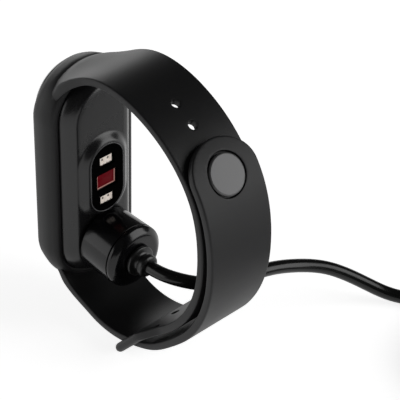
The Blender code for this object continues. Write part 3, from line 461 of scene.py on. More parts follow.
# %% [markdown]
# A natural cubic curve through points is used for the lead and for the strap's side view. It is a small
# linear system: each point gets the bend that keeps the curve smooth there.


# %% Smooth curve through points
def smooth_curve(points, spacing):
    """Evenly spaced points on a natural cubic curve through the given ones."""
    points = np.asarray(points, float)
    chords = np.linalg.norm(np.diff(points, axis=0), axis=1)
    knots = np.concatenate([[0], np.cumsum(chords)])
    slopes = np.diff(points, axis=0) / chords[:, None]
    system = np.eye(len(points))
    wanted = np.zeros_like(points)
    for i in range(1, len(points) - 1):
        system[i, i - 1:i + 2] = (chords[i - 1], 2 * (chords[i - 1] + chords[i]), chords[i])
        wanted[i] = 6 * (slopes[i] - slopes[i - 1])
    bends = np.linalg.solve(system, wanted)
    dense = []
    for t in np.linspace(0, knots[-1], 40 * len(points)):
        i = min(int(np.searchsorted(knots, t, side="right")) - 1, len(chords) - 1)
        ahead, behind, span = t - knots[i], knots[i + 1] - t, chords[i]
        value = (bends[i] * behind ** 3 + bends[i + 1] * ahead ** 3) / (6 * span)
        value = value + (points[i] / span - bends[i] * span / 6) * behind
        dense.append(value + (points[i + 1] / span - bends[i + 1] * span / 6) * ahead)
    dense = np.array(dense)
    along = np.concatenate([[0], np.cumsum(np.linalg.norm(np.diff(dense, axis=0), axis=1))])
    even = np.linspace(0, along[-1], max(2, round(along[-1] / spacing) + 1))
    return np.stack([np.interp(even, along, column) for column in dense.T], axis=1)


lead_line = smooth_curve(lead_route, 1.0)


# %% [markdown]
# The lead itself is a curve with a round bevel, which is how Blender makes a tube. Its points are placed
# in the frame's metres, so it needs no further move. Its tie, grip and plug are made later.


# %% The lead
def tube(name, points, radius, resolution=6):
    """A round tube as a curve object with capped ends."""
    data = bpy.data.curves.new(name, "CURVE")
    data.dimensions = "3D"
    data.bevel_depth = radius
    data.bevel_resolution = resolution
    data.use_fill_caps = True
    line = data.splines.new("POLY")
    line.points.add(len(points) - 1)
    for point, where in zip(line.points, points):
        point.co = (*where, 1)
    obj = bpy.data.objects.new(name, data)
    bpy.context.scene.collection.objects.link(obj)
    return obj


lead = tube("charging_lead", lead_line * MM, CORD_RADIUS * MM)
lead.data.materials.append(JACKET)
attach(lead, "charger")
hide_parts("charging_cord", "cord_coil", "cord_tail")

# %% [markdown]
# ## Rows with Geometry Nodes
# Holes, ribs, contacts and solder pads all repeat at equal steps along a line. One node tree makes such a
# row: a mesh line, an instance of a box or a cylinder on each of its points, and then real geometry with
# a material, because an exporter drops instances.


# %% A row of equal shapes
def row_tree(shape):
    """A tree that places Count boxes or cylinders of one Size from Start, a Step apart."""
    tree = bpy.data.node_groups.new(f"row_of_{shape}s", "GeometryNodeTree")
    sockets = {}
    kinds = {"Count": "Int", "Start": "Vector", "Step": "Vector", "Size": "Vector", "Finish": "Material"}
    for label, kind in kinds.items():
        socket = tree.interface.new_socket(label, in_out="INPUT", socket_type="NodeSocket" + kind)
        sockets[label] = socket.identifier
    tree.interface.new_socket("Geometry", in_out="OUTPUT", socket_type="NodeSocketGeometry")
    nodes, links = tree.nodes, tree.links
    source = nodes.new("NodeGroupInput")
    line = nodes.new("GeometryNodeMeshLine")
    line.mode = "OFFSET"
    links.new(source.outputs["Count"], line.inputs["Count"])
    links.new(source.outputs["Start"], line.inputs["Start Location"])
    links.new(source.outputs["Step"], line.inputs["Offset"])
    if shape == "box":
        form = nodes.new("GeometryNodeMeshCube")
        links.new(source.outputs["Size"], form.inputs["Size"])
    else:
        form = nodes.new("GeometryNodeMeshCylinder")
        form.inputs["Vertices"].default_value = 40
        split = nodes.new("ShaderNodeSeparateXYZ")
        links.new(source.outputs["Size"], split.inputs[0])
        links.new(split.outputs["X"], form.inputs["Radius"])
        links.new(split.outputs["Z"], form.inputs["Depth"])
    spread = nodes.new("GeometryNodeInstanceOnPoints")
    links.new(line.outputs["Mesh"], spread.inputs["Points"])
    links.new(form.outputs["Mesh"], spread.inputs["Instance"])
    real = nodes.new("GeometryNodeRealizeInstances")
    links.new(spread.outputs["Instances"], real.inputs["Geometry"])
    coated = nodes.new("GeometryNodeSetMaterial")
    links.new(real.outputs["Geometry"], coated.inputs["Geometry"])
    links.new(source.outputs["Finish"], coated.inputs["Material"])
    sink = nodes.new("NodeGroupOutput")
    links.new(coated.outputs["Geometry"], sink.inputs["Geometry"])
    return tree, sockets


ROWS = {shape: row_tree(shape) for shape in ("box", "cylinder")}


def row(name, shape, count, start, step, size, material):
    """A plain mesh of the row, with the modifier removed. A cylinder's Size is (radius, 0, depth)."""
    tree, sockets = ROWS[shape]
    obj = on_bench(name, bpy.data.meshes.new(name))
    maker = obj.modifiers.new("Row", "NODES")
    maker.node_group = tree
    values = {"Count": count, "Start": start, "Step": step, "Size": size, "Finish": material}
    for label, value in values.items():
        maker[sockets[label]] = value
    applied(obj)
    print(f"{name}: {count} in a row, {len(obj.data.polygons)} faces")
    return obj


# %% [markdown]
# ## Strap
# The strap is one moulding of silicone: a ring round the capsule and two arms. It is made as it is
# moulded, flat, because holes and rounded edges are easy to make on a flat strip. The strip is then
# sliced across at equal steps, and each of its points is bent onto the loop. This is what a Curve
# modifier does, but here the strip's root can also follow the ring's round end.

# %% Sizes of the strap
HALF_STRAP = 7.6
THICKNESS = 1.6
ROOT_THICKNESS = 2.0
RING_RADIUS = 10.74
END_REACH = 14.65
RING_BACK_X = -2.7
RING_FRONT_X = -8.8
SEAT_RADIUS = 9.35
LIP_RADIUS = 8.62
ROOT_X = -5.2
ROOT_RAISE = 0.2
ROOT_BLEND = 12.0
LOOP_REACH, LOOP_TOP, LOOP_BASE = 35.3, 29.0, 28.2
FIRST_HOLE, HOLE_PITCH, HOLE_COUNT, STUD_HOLE = 26.2, 5.0, 13, 3
ROOT_FLARE, ROOT_FLARE_LENGTH = 1.0, 10.0
TIP_REACH = 6.9
HOLE_RADIUS = 0.95
LAP_AT_STUD, LAP_AT_KEEPER = 0.45, 1.35
BUTTON_RADIUS = 4.0
BUTTON_GROOVE = 0.28
KEEPER_RADIUS = 0.95
KEEPER_REACH = 7.8
KEEPER_GAP = 0.3
KEEPER_OVERHANG = 0.35
LEG_BACK, LEG_IN = 0.9, 0.25
LEG_START, LEG_START_IN, LEG_START_DROP = 5.5, 0.9, 0.1
FLARE_LENGTH = 7.0
STATION = 0.6
CHORD = 0.4
LAP_PAST_STUD = 1.3 * HALF_STRAP
UPPER_SHAPE = ((0.03, 0.918), (0.2, 0.99), (0.36, 1.0), (0.57, 0.935), (0.765, 0.793), (0.93, 0.545),
               (1.0, 0.17), (0.972, -0.17), (0.84, -0.5), (0.558, -0.816))
LOWER_SHAPE = ((0.03, -0.935), (0.19, -0.995), (0.36, -0.998), (0.49, -0.955))


# %% [markdown]
# The two arms are curves in the side view. The inner one is a natural cubic curve through a few points,
# given as shares of the loop's reach and height. The outer one follows it at a small gap where they lie
# over each other.


# %% The strap's side view
class Side:
    """A curve in side view measured by its length. sign is +1 where the loop's outside is to its left."""

    def __init__(self, points, sign):
        self.points = smooth_curve(points, 0.1)
        steps = np.linalg.norm(np.diff(self.points, axis=0), axis=1)
        self.lengths = np.concatenate([[0], np.cumsum(steps)])
        self.length = self.lengths[-1]
        self.sign = sign

    def on_curve(self, along):
        return np.array([np.interp(along, self.lengths, column) for column in self.points.T])

    def at(self, along):
        """The point there; before the start and past the end it goes on straight."""
        inside = min(max(along, 0), self.length)
        return self.on_curve(inside) + (along - inside) * self.tangent(inside)

    def tangent(self, along):
        """The unit vector along the curve, taken over a short chord."""
        low = min(max(along - CHORD / 2, 0), self.length - CHORD)
        ahead = self.on_curve(low + CHORD) - self.on_curve(low)
        return ahead / np.linalg.norm(ahead)

    def normal(self, along):
        """The unit vector out of the loop."""
        tx, tz = self.tangent(min(max(along, 0), self.length))
        return self.sign * np.array([-tz, tx])

    def nearest(self, point):
        return self.lengths[int(np.argmin(np.linalg.norm(self.points - point, axis=1)))]


def scaled(shape):
    return [(u * LOOP_REACH, v * (LOOP_TOP if v > 0 else LOOP_BASE)) for u, v in shape]


root_z = END_REACH + RING_RADIUS + ROOT_RAISE - ROOT_THICKNESS / 2
upper = Side([(ROOT_X, root_z)] + scaled(UPPER_SHAPE), 1)
stud_along = FIRST_HOLE + STUD_HOLE * HOLE_PITCH


def lapped(along):
    """The middle of the outer arm over this point of the inner one. The gap closes at the stud."""
    share = min(max((along - stud_along) / (upper.length - stud_along), 0), 1)
    gap = LAP_AT_STUD + share ** 0.5 * (LAP_AT_KEEPER - LAP_AT_STUD)
    return upper.at(along) + (THICKNESS + gap) * upper.normal(along)


lap = [tuple(lapped(s)) for s in np.linspace(upper.length - 1, stud_along - LAP_PAST_STUD, 10)]
lower = Side([(ROOT_X, -root_z)] + scaled(LOWER_SHAPE) + lap, -1)
stud_lower = lower.nearest(lapped(stud_along))
print("upper arm", round(upper.length, 1), "mm, lower arm to the stud", round(stud_lower, 1), "mm")


# %% [markdown]
# A flat strip is an outline pulled up to its thickness. Its outer edges are rounded first. Then the holes
# are cut and their edges rounded by less, which leaves the first edges alone because they are no longer
# sharp. Slicing comes last, so that every hole is sliced as well.


# %% Flat strips
def flat_strip(name, outline, bevel):
    """A strip of the strap's thickness from an outline of (along, across) points, with rounded edges."""
    work = bmesh.new()
    corners = [work.verts.new((s, y, -THICKNESS / 2)) for s, y in outline]
    face = work.faces.new(corners)
    lifted = bmesh.ops.extrude_face_region(work, geom=[face])
    top = [v for v in lifted["geom"] if isinstance(v, bmesh.types.BMVert)]
    bmesh.ops.translate(work, verts=top, vec=(0, 0, THICKNESS))
    bmesh.ops.recalc_face_normals(work, faces=work.faces)
    mesh = bpy.data.meshes.new(name)
    work.to_mesh(mesh)
    work.free()
    return rounded_edges(on_bench(name, mesh), bevel, 4, 50)


def sliced(obj, low, high, step, across):
    """Slices a flat strip across at equal steps, and lengthwise at these distances from its middle."""
    work = bmesh.new()
    work.from_mesh(obj.data)
    cuts = [((s, 0, 0), (1, 0, 0)) for s in np.arange(low + step, high, step)]
    cuts += [((0, y, 0), (0, 1, 0)) for y in across]
    for point, direction in cuts:
        everything = work.verts[:] + work.edges[:] + work.faces[:]
        bmesh.ops.bisect_plane(work, geom=everything, dist=1e-5, plane_co=point, plane_no=direction)
    bmesh.ops.remove_doubles(work, verts=work.verts, dist=1e-4)
    work.to_mesh(obj.data)
    work.free()
    return obj


ROOT_START = -0.5
DROOP_POWER = 2.2
MOST_THICKENED = 1.25
ROOT_SINK, SINK_BEFORE, SINK_LENGTH = 0.5, 0.6, 2.6


def bent(obj, path):
    """Bends a flat strip onto the loop. Its root follows the ring's round end, and is thicker."""
    radius = RING_RADIUS + ROOT_RAISE
    for vertex in obj.data.vertices:
        along, across, depth = vertex.co
        share = max(1 - max(along, 0) / ROOT_BLEND, 0) ** DROOP_POWER
        droop = share * (radius - math.sqrt(radius ** 2 - across ** 2))
        lean = share * across / math.sqrt(radius ** 2 - across ** 2)
        thick = 1 + (ROOT_THICKNESS / THICKNESS - 1) * eased(1 - along / ROOT_BLEND)
        depth *= thick * min(math.sqrt(1 + lean ** 2), MOST_THICKENED)
        depth -= (ROOT_SINK if depth > 0 else 0) * eased(1 - (along + SINK_BEFORE) / SINK_LENGTH)
        x, z = path.at(along) + (depth - droop) * path.normal(along)
        vertex.co = (x, across, z)
    return obj


EDGE_ROUND = 0.35
HOLE_ROUND = 0.14
POCKET_ROUND = 0.12
ACROSS = list(np.linspace(-8.2, -7.0, 5)) + list(np.linspace(-6.4, 6.4, 17)) + list(np.linspace(7.0, 8.2, 5))


def root_width(along):
    """Half the width of an arm, which is a little wider where it joins the ring."""
    return HALF_STRAP + ROOT_FLARE * eased(1 - along / ROOT_FLARE_LENGTH)


root_stations = list(np.linspace(ROOT_START, ROOT_FLARE_LENGTH, 12))


# %% [markdown]
# The inner arm carries the row of adjustment holes, and it widens at its end where the keeper's legs
# start. The row of hole cutters comes from the node tree, laid along the flat strip.


# %% Inner arm with its holes
def arm_width(along):
    """Half the width of the inner arm, which widens at its end to carry the keeper."""
    share = eased((along - (upper.length - FLARE_LENGTH)) / FLARE_LENGTH)
    return HALF_STRAP + share * (KEEPER_GAP + 2 * KEEPER_RADIUS - KEEPER_OVERHANG)


edge_stations = list(np.linspace(upper.length - FLARE_LENGTH, upper.length, 14))
near_side = [(s, -root_width(s)) for s in root_stations] + [(s, -arm_width(s)) for s in edge_stations]
arm_outline = near_side + [(s, -y) for s, y in reversed(near_side)]
inner_arm = flat_strip("inner_arm", arm_outline, EDGE_ROUND)
drills = row("hole_drills", "cylinder", HOLE_COUNT, (FIRST_HOLE, 0, 0), (HOLE_PITCH, 0, 0),
             (HOLE_RADIUS, 0, 4 * THICKNESS), SILICONE)
combined(inner_arm, drills, "DIFFERENCE")
rounded_edges(inner_arm, HOLE_ROUND, 2, 60)
sliced(inner_arm, ROOT_START, upper.length, STATION, ACROSS)
bent(inner_arm, upper)
print("inner arm faces:", len(inner_arm.data.polygons))

# %% [markdown]
# The keeper is a round bar that the outer arm lies on, with a leg at each edge that joins the end of the
# inner arm. It is a tube along points with rounded corners, turned into a mesh so that it can be joined
# to the arm.

# %% Keeper
arm_end = upper.at(upper.length)
keeper_along = lower.nearest(arm_end) - KEEPER_REACH
bar = lower.at(keeper_along) + (THICKNESS / 2 + KEEPER_GAP + KEEPER_RADIUS) * lower.normal(keeper_along)
half_keeper = HALF_STRAP + KEEPER_GAP + KEEPER_RADIUS
leg = arm_end - LEG_BACK * upper.tangent(upper.length)
start_along = upper.length - LEG_START
start = upper.at(start_along) - LEG_START_DROP * upper.normal(start_along)
half_loop = [(start[0], HALF_STRAP - LEG_START_IN, start[1]), (leg[0], half_keeper - LEG_IN, leg[1]),
             (bar[0], half_keeper, bar[1]), (bar[0], 0, bar[1])]
side_points = softened(half_loop, [0, 1.5, 2.2, 0], 9)
keeper_points = np.concatenate([side_points[:-1], (side_points * (1, -1, 1))[::-1]])
keeper_curve = tube("keeper_curve", keeper_points, KEEPER_RADIUS, 6)
keeper = applied(on_bench("keeper", bpy.data.meshes.new_from_object(keeper_curve)))
bpy.data.objects.remove(keeper_curve, do_unlink=True)
tidied(keeper.data)
print("keeper bar at", np.round(bar, 2))

# %% [markdown]
# The ring is a profile turned round the capsule, with its two halves pulled apart into a slot. Its front
# corner is well rounded, its rear shoulder falls away to a thin lip, and the lip reaches over the
# capsule's flange. The ring, the arm and the keeper are then joined into one closed solid, as the real
# moulding is.

# %% Ring, joined with the inner arm and the keeper
END_SLOPE = 0.4
END_TURN = 0.7
SLOPE_START_X, SLOPE_LENGTH = -5.2, 3.0
ring_corners = [
    (LIP_RADIUS, RING_BACK_X - 0.12), (LIP_RADIUS + 0.6, RING_BACK_X),
    (RING_RADIUS - 0.6, RING_BACK_X - 0.35),
    (RING_RADIUS - 0.05, RING_BACK_X - 1.7), (RING_RADIUS, RING_BACK_X - 3.2),
    (RING_RADIUS - 0.3, RING_FRONT_X + 1.0), (RING_RADIUS - 0.9, RING_FRONT_X), (SEAT_RADIUS, RING_FRONT_X),
    (SEAT_RADIUS, -4.1), (LIP_RADIUS, -4.1),
]
ring_radii = [0.1, 0.3, 0.9, 0.9, 1.0, 1.0, 0.2, 0.1, 0, 0.1]
ring_profile = softened(ring_corners, ring_radii, 6, closed=True)
strap_ring = slotted("strap_loop", ring_profile, END_REACH, 40, 24, closed=True)
for vertex in strap_ring.data.vertices:
    beyond = abs(vertex.co.z) - END_REACH
    outward = math.hypot(vertex.co.y, max(beyond, 0))
    if beyond > 0 and outward > SEAT_RADIUS + 0.2:
        share = eased(beyond / outward / END_TURN) * eased((SLOPE_START_X - vertex.co.x) / SLOPE_LENGTH)
        shrink = 1 - END_SLOPE * share / outward
        vertex.co.y *= shrink
        vertex.co.z = math.copysign(END_REACH + beyond * shrink, vertex.co.z)


def seat_bore():
    """The opening of the ring, which cuts off whatever part of an arm reaches into it."""
    profile = [(LIP_RADIUS - 0.01, RING_FRONT_X - 1), (LIP_RADIUS - 0.01, 1)]
    return slotted("seat_bore", profile, END_REACH, 40, 24)


combined(inner_arm, seat_bore(), "DIFFERENCE")
strap_loop = combined(strap_ring, inner_arm, "UNION")
combined(strap_loop, keeper, "UNION")
tidied(strap_loop.data, 2e-4)
placed(strap_loop, "strap", SILICONE, ("strap_frame", "upper_strap", "keeper_loop"))

# %% [markdown]
# The outer arm ends in a round tip with a shallow pocket for the button.

# %% Outer arm with its tip
tip_arc = [(stud_lower + TIP_REACH * math.sin(a), -HALF_STRAP * math.cos(a))
           for a in np.linspace(0, math.pi / 2, 22)]
lower_side = [(s, -root_width(s)) for s in root_stations] + tip_arc
tip_outline = lower_side + [(s, -y) for s, y in reversed(lower_side[:-1])]
outer_arm = flat_strip("strap_outer_arm", tip_outline, EDGE_ROUND)
POCKET_DEPTH = 0.9
POCKET_FLOOR = THICKNESS / 2 - POCKET_DEPTH
PEG_BORE = 1.25
pocket_cutter = row("pocket_cutter", "cylinder", 1, (stud_lower, 0, POCKET_FLOOR + 1), (1, 0, 0),
                    (BUTTON_RADIUS + BUTTON_GROOVE, 0, 2), SILICONE)
bore_cutter = row("bore_cutter", "cylinder", 1, (stud_lower, 0, 0), (1, 0, 0), (PEG_BORE, 0, 4), SILICONE)
combined(outer_arm, pocket_cutter, "DIFFERENCE")
combined(outer_arm, bore_cutter, "DIFFERENCE")
rounded_edges(outer_arm, POCKET_ROUND, 2, 60)
sliced(outer_arm, ROOT_START, stud_lower + TIP_REACH, STATION, ACROSS)
bent(outer_arm, lower)
combined(outer_arm, seat_bore(), "DIFFERENCE")
placed(outer_arm, None, SILICONE, ("lower_strap", "strap_tip"))


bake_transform(outer_arm)

# %% [markdown]
# The button is a turned disc with a flat face and a fine stepped rim, and the peg below it has a rounded
# head. Both are turned on the bench about X and then stood on the outer arm where the stud is.


# %% Snap button and its peg
def stand_on(obj, path, along):
    """Turns a piece made about X so that its X axis points out of the loop at this place of an arm."""
    x, z = path.at(along)
    nx, nz = path.normal(along)
    tx, tz = path.tangent(along)
    turn = Matrix(((nx, 0, tx, x), (0, 1, 0, 0), (nz, 0, tz, z), (0, 0, 0, 1)))
    if turn.to_3x3().determinant() < 0:
        turn = turn @ Matrix.Diagonal((1, -1, 1, 1))
    obj.data.transform(turn)
    return obj


BUTTON_RISE, BUTTON_THICKNESS = 0.1, 0.8
PEG_RADIUS, PEG_HEAD_RADIUS = 0.95, 1.05
PEG_INSET, PEG_HEAD_DEPTH = 1.0, 0.9
button_top = THICKNESS / 2 + BUTTON_RISE
button_low = button_top - BUTTON_THICKNESS
button_corners = [
    (0, button_top), (BUTTON_RADIUS - 0.3, button_top), (BUTTON_RADIUS - 0.1, button_top - 0.12),
    (BUTTON_RADIUS, button_top - 0.22), (BUTTON_RADIUS, button_low), (0, button_low),
]
button_profile = softened(button_corners, [0, 0.06, 0.06, 0.08, 0.1, 0], 4)
snap_button = slotted("snap_button", button_profile, 0, 49)
placed(stand_on(snap_button, lower, stud_lower), "clasp_tip", BUTTON, ("stud_button",))
seat = -THICKNESS / 2 - LAP_AT_STUD - THICKNESS
peg_top = button_top - PEG_INSET
peg_end = seat - PEG_HEAD_DEPTH
peg_corners = [(0, peg_top), (PEG_RADIUS, peg_top), (PEG_RADIUS, seat + 0.3), (PEG_HEAD_RADIUS, seat - 0.1),
               (PEG_HEAD_RADIUS, seat - 0.7), (0.6, peg_end), (0, peg_end)]
peg_profile = softened(peg_corners, [0, 0.1, 0.3, 0.3, 0.3, 0.2, 0], 5)
snap_peg = slotted("snap_peg", peg_profile, 0, 25)
placed(stand_on(snap_peg, lower, stud_lower), "clasp_tip", STEEL, ("stud_peg",))

# %% [markdown]
# ## Capsule
# The back of the capsule is one smooth moulding: a flat middle with a hump for the sensor, a rounded
# edge, and a flange that the strap's lip holds. Rings of points that shrink towards the middle give a
# grid fine enough to raise the hump by a formula. The hump is a slot as well, and it is scooped out where
# the charger docks.

# %% The capsule's back and its hump
CAPSULE_RADIUS, FLANGE_RADIUS, CAVITY_RADIUS = 8.55, 9.05, 8.05
SHELL_FRONT_X, BACK_WALL = -8.7, 0.9
BACK_FLAT = 5.4
HUMP_HEIGHT = 1.24
HUMP_CROWN = 4.35
HUMP_FOOT = 6.3
SCOOP_GAP, SCOOP_WALL = 0.35, 0.5
RAISED_PAST = -0.6
WINDOW_Z, WINDOW_REACH, WINDOW_RADIUS = 0.9, 3.7, 4.05
CHARGER_Z, CHARGER_RADIUS = -14.2, 6.7
CONTACT_Y = 3.2


def hump(y, z):
    """How far the hump stands out of the flat back."""
    past_end = max(abs(z - WINDOW_Z) - WINDOW_REACH, 0)
    away = math.hypot(y, past_end)
    rise = HUMP_HEIGHT * eased((HUMP_FOOT - away) / (HUMP_FOOT - HUMP_CROWN))
    from_charger = math.hypot(y, z - CHARGER_Z) - CHARGER_RADIUS - SCOOP_GAP
    return rise * eased(from_charger / SCOOP_WALL)


flat_radii = list(np.linspace(0, BACK_FLAT, 44))
back_outline = [(r, 0.0) for r in flat_radii]
edge_corners = [(BACK_FLAT, 0), (BACK_FLAT + 1.05, -0.1), (CAPSULE_RADIUS - 0.7, -1.35),
                (CAPSULE_RADIUS - 0.12, -2.4), (CAPSULE_RADIUS, -3.1)]
edge_curve = softened(edge_corners, [0, 0.7, 0.7, 0.5, 0], 8)
wall_corners = [
    (CAPSULE_RADIUS, -3.1), (CAPSULE_RADIUS, -4.4), (FLANGE_RADIUS, -4.4), (FLANGE_RADIUS, SHELL_FRONT_X),
    (CAVITY_RADIUS, SHELL_FRONT_X), (CAVITY_RADIUS, -2.9), (5.85, -BACK_WALL), (0, -BACK_WALL),
]
outer_wall = softened(wall_corners, [0, 0.1, 0.12, 0.15, 0.1, 0.3, 0.2, 0], 4)
shell_profile = back_outline + [tuple(p) for p in edge_curve[1:]] + [tuple(p) for p in outer_wall[1:]]
capsule_back = slotted("capsule_back", shell_profile, END_REACH, 48, 110)
for vertex in capsule_back.data.vertices:
    if vertex.co.x > RAISED_PAST:
        vertex.co.x += hump(vertex.co.y, vertex.co.z)


# %% [markdown]
# The window sits in a pocket of the hump, on a narrow ledge round an opening. Two small bores beside the
# charger take the gold contacts. All of them are cut with Booleans, and the pocket's edge is then
# finished by a fine polished bead, which is what catches the light round the window.


# %% Pocket, opening and contact bores
POCKET_GAP, LEDGE = 0.02, 0.8
POCKET_X = 0.42
CONTACT_BORE = 1.4


def window_slot(name, radius, low, high):
    return slotted(name, [(radius, low), (radius, high)], WINDOW_REACH, 40, 12, centre=(0, WINDOW_Z))


combined(capsule_back, window_slot("pocket", WINDOW_RADIUS + POCKET_GAP, POCKET_X, 3), "DIFFERENCE")
combined(capsule_back, window_slot("opening", WINDOW_RADIUS - LEDGE, -2, 3), "DIFFERENCE")
for side in (-1, 1):
    bore_profile = [(CONTACT_BORE, -2), (CONTACT_BORE, 2)]
    contact_bore = slotted("contact_bore", bore_profile, 0, 20, centre=(side * CONTACT_Y, CHARGER_Z))
    combined(capsule_back, contact_bore, "DIFFERENCE")
placed(capsule_back, "tracker", SHELL, ("capsule_shell",), sharp=30)
bead_profile = [(WINDOW_RADIUS + 0.06 + 0.10 * math.cos(a), HUMP_HEIGHT - 0.03 + 0.08 * math.sin(a))
                for a in np.linspace(0, 2 * math.pi, 13)[:-1]]
window_bead = slotted("window_bead", bead_profile, WINDOW_REACH, 40, 2, closed=True, centre=(0, WINDOW_Z))
POLISHED = finish("polished_bead", (0.05, 0.05, 0.052), 0.16, grain=2000, bump=0.02)
placed(window_bead, "tracker", POLISHED)

# %% [markdown]
# The window is a clear pane printed black on its back, with three clear places over the light sources and
# the detector. A mask of rounded rectangles, worked out from the pane's own coordinates, drives the Alpha
# input: one where it is printed, and almost nothing where it is clear. The gloss stays the same all over.


# %% Window pane
def rectangle_mask(nodes, links, where, centre, half):
    """1 inside a rectangle of the pane, 0 outside, from the object coordinates y and z."""
    split = nodes.new("ShaderNodeSeparateXYZ")
    links.new(where, split.inputs[0])
    inside = []
    for axis, middle, size in (("Y", centre[0], half[0]), ("Z", centre[1], half[1])):
        offset = math_node(nodes, links, "SUBTRACT", split.outputs[axis], middle)
        away = math_node(nodes, links, "ABSOLUTE", offset)
        inside.append(math_node(nodes, links, "LESS_THAN", away, size))
    return math_node(nodes, links, "MULTIPLY", *inside)


def window_finish(clear_places):
    """Gloss black print with clear places."""
    made = finish("window_pane", (0.0015, 0.0015, 0.0015), 0.08, grain=1500, bump=0.0, tone=0.1, wear=0.0,
                  Specular_IOR_Level=0.0)
    nodes, links = made.node_tree.nodes, made.node_tree.links
    where = nodes.new("ShaderNodeTexCoord").outputs["Object"]
    clear = None
    for centre, half in clear_places:
        mask = rectangle_mask(nodes, links, where, centre, half)
        clear = mask if clear is None else math_node(nodes, links, "MAXIMUM", clear, mask)
    alpha = math_node(nodes, links, "MULTIPLY_ADD", clear, -0.9, 1.0)
    links.new(alpha, nodes["Principled BSDF"].inputs["Alpha"])
    return made


LED_Z = 4.6
OPTIC_DROP = 0.6
OVER_DIODE, OVER_LED = (2.6, 1.95), (1.85, 1.25)
pane_places = []
for z, (half_y, half_z) in ((0, OVER_DIODE), (LED_Z, OVER_LED), (-LED_Z, OVER_LED)):
    pane_places.append(((0.0, ORIGIN.z + (WINDOW_Z - OPTIC_DROP + z) * MM), (half_y * MM, half_z * MM)))
pane_back = HUMP_HEIGHT - 0.5
pane_corners = [(0, pane_back), (WINDOW_RADIUS - 0.15, pane_back), (WINDOW_RADIUS - 0.12, HUMP_HEIGHT - 0.06),
                (WINDOW_RADIUS - 0.5, HUMP_HEIGHT), (0, HUMP_HEIGHT)]
pane_profile = softened(pane_corners, [0, 0.05, 0.1, 0.2, 0], 4)
window_pane = slotted("window_pane", pane_profile, WINDOW_REACH, 40, 12, centre=(0, WINDOW_Z))
placed(window_pane, "tracker", window_finish(pane_places), ("sensor_window",))

# %% [markdown]
# Under the clear places lie the detector and two light packages. The detector is a dark red filter with a
# fine gold frame round it. The faint glow of the filter, its frame and the packages is painted light: an
# emission that stands in for the room light reaching them through the pane.

# %% Detector
OPTIC_TOP = 0.72
OPTIC_Z = WINDOW_Z - OPTIC_DROP
DIODE_DEPTH, DIODE_WIDTH, DIODE_HEIGHT = 1.0, 4.7, 3.4
FRAME_EDGE = 0.5


def painted_glow(material, color, strength):
    """Adds painted light: a faint emission, set straight on the shader, on a part that is no lamp."""
    shader = material.node_tree.nodes["Principled BSDF"]
    shader.inputs["Emission Color"].default_value = (*color, 1)
    shader.inputs["Emission Strength"].default_value = strength
    return material


red_resin = finish("detector_filter_painted_glow", (0.09, 0.001, 0.004), 0.4, grain=5200, bump=0.4, tone=0.6, wear=0.2,
                   worn=(0.22, 0.004, 0.012), Specular_IOR_Level=0.1)
# Painted light: the red filter's faint emission stands in for the room light that reaches it through the
# pane.
RED_WITH_PAINTED_GLOW = painted_glow(red_resin, (0.40, 0.0, 0.010), 0.16)
gold_wire = finish("detector_frame", (0.75, 0.42, 0.36), 0.4, grain=6000, bump=0.2, tone=0.3)
# Painted light: the gold frame gets the same faint emission, though it is no lamp.
FRAME_GOLD_WITH_PAINTED_GLOW = painted_glow(gold_wire, (0.8, 0.42, 0.36), 0.16)
# Painted light: the cream light packages get a faint emission, as if lit through the pane, though they are
# off.
painted_glow(CERAMIC_WITH_PAINTED_GLOW, (0.9, 0.80, 0.72), 0.42)
inner_width, inner_height = DIODE_WIDTH - FRAME_EDGE, DIODE_HEIGHT - FRAME_EDGE
diode_size = (DIODE_DEPTH, inner_width, inner_height)
detector = block("detector", diode_size, (OPTIC_TOP - 0.55, 0, OPTIC_Z), 0.06, 2)
placed(detector, "tracker", RED_WITH_PAINTED_GLOW, ("photodiode",))
frame_size = (0.22, DIODE_WIDTH, DIODE_HEIGHT)
detector_frame = block("detector_frame", frame_size, (OPTIC_TOP - 0.11, 0, OPTIC_Z), 0.05, 2)
frame_hole = block("frame_hole", (1, inner_width, inner_height), (OPTIC_TOP, 0, OPTIC_Z))
combined(detector_frame, frame_hole, "DIFFERENCE")
placed(detector_frame, "tracker", FRAME_GOLD_WITH_PAINTED_GLOW)

# %% [markdown]
# Each light package is a cream ceramic body with two small wells, notches along its lower edge and a row
# of solder pads between them.

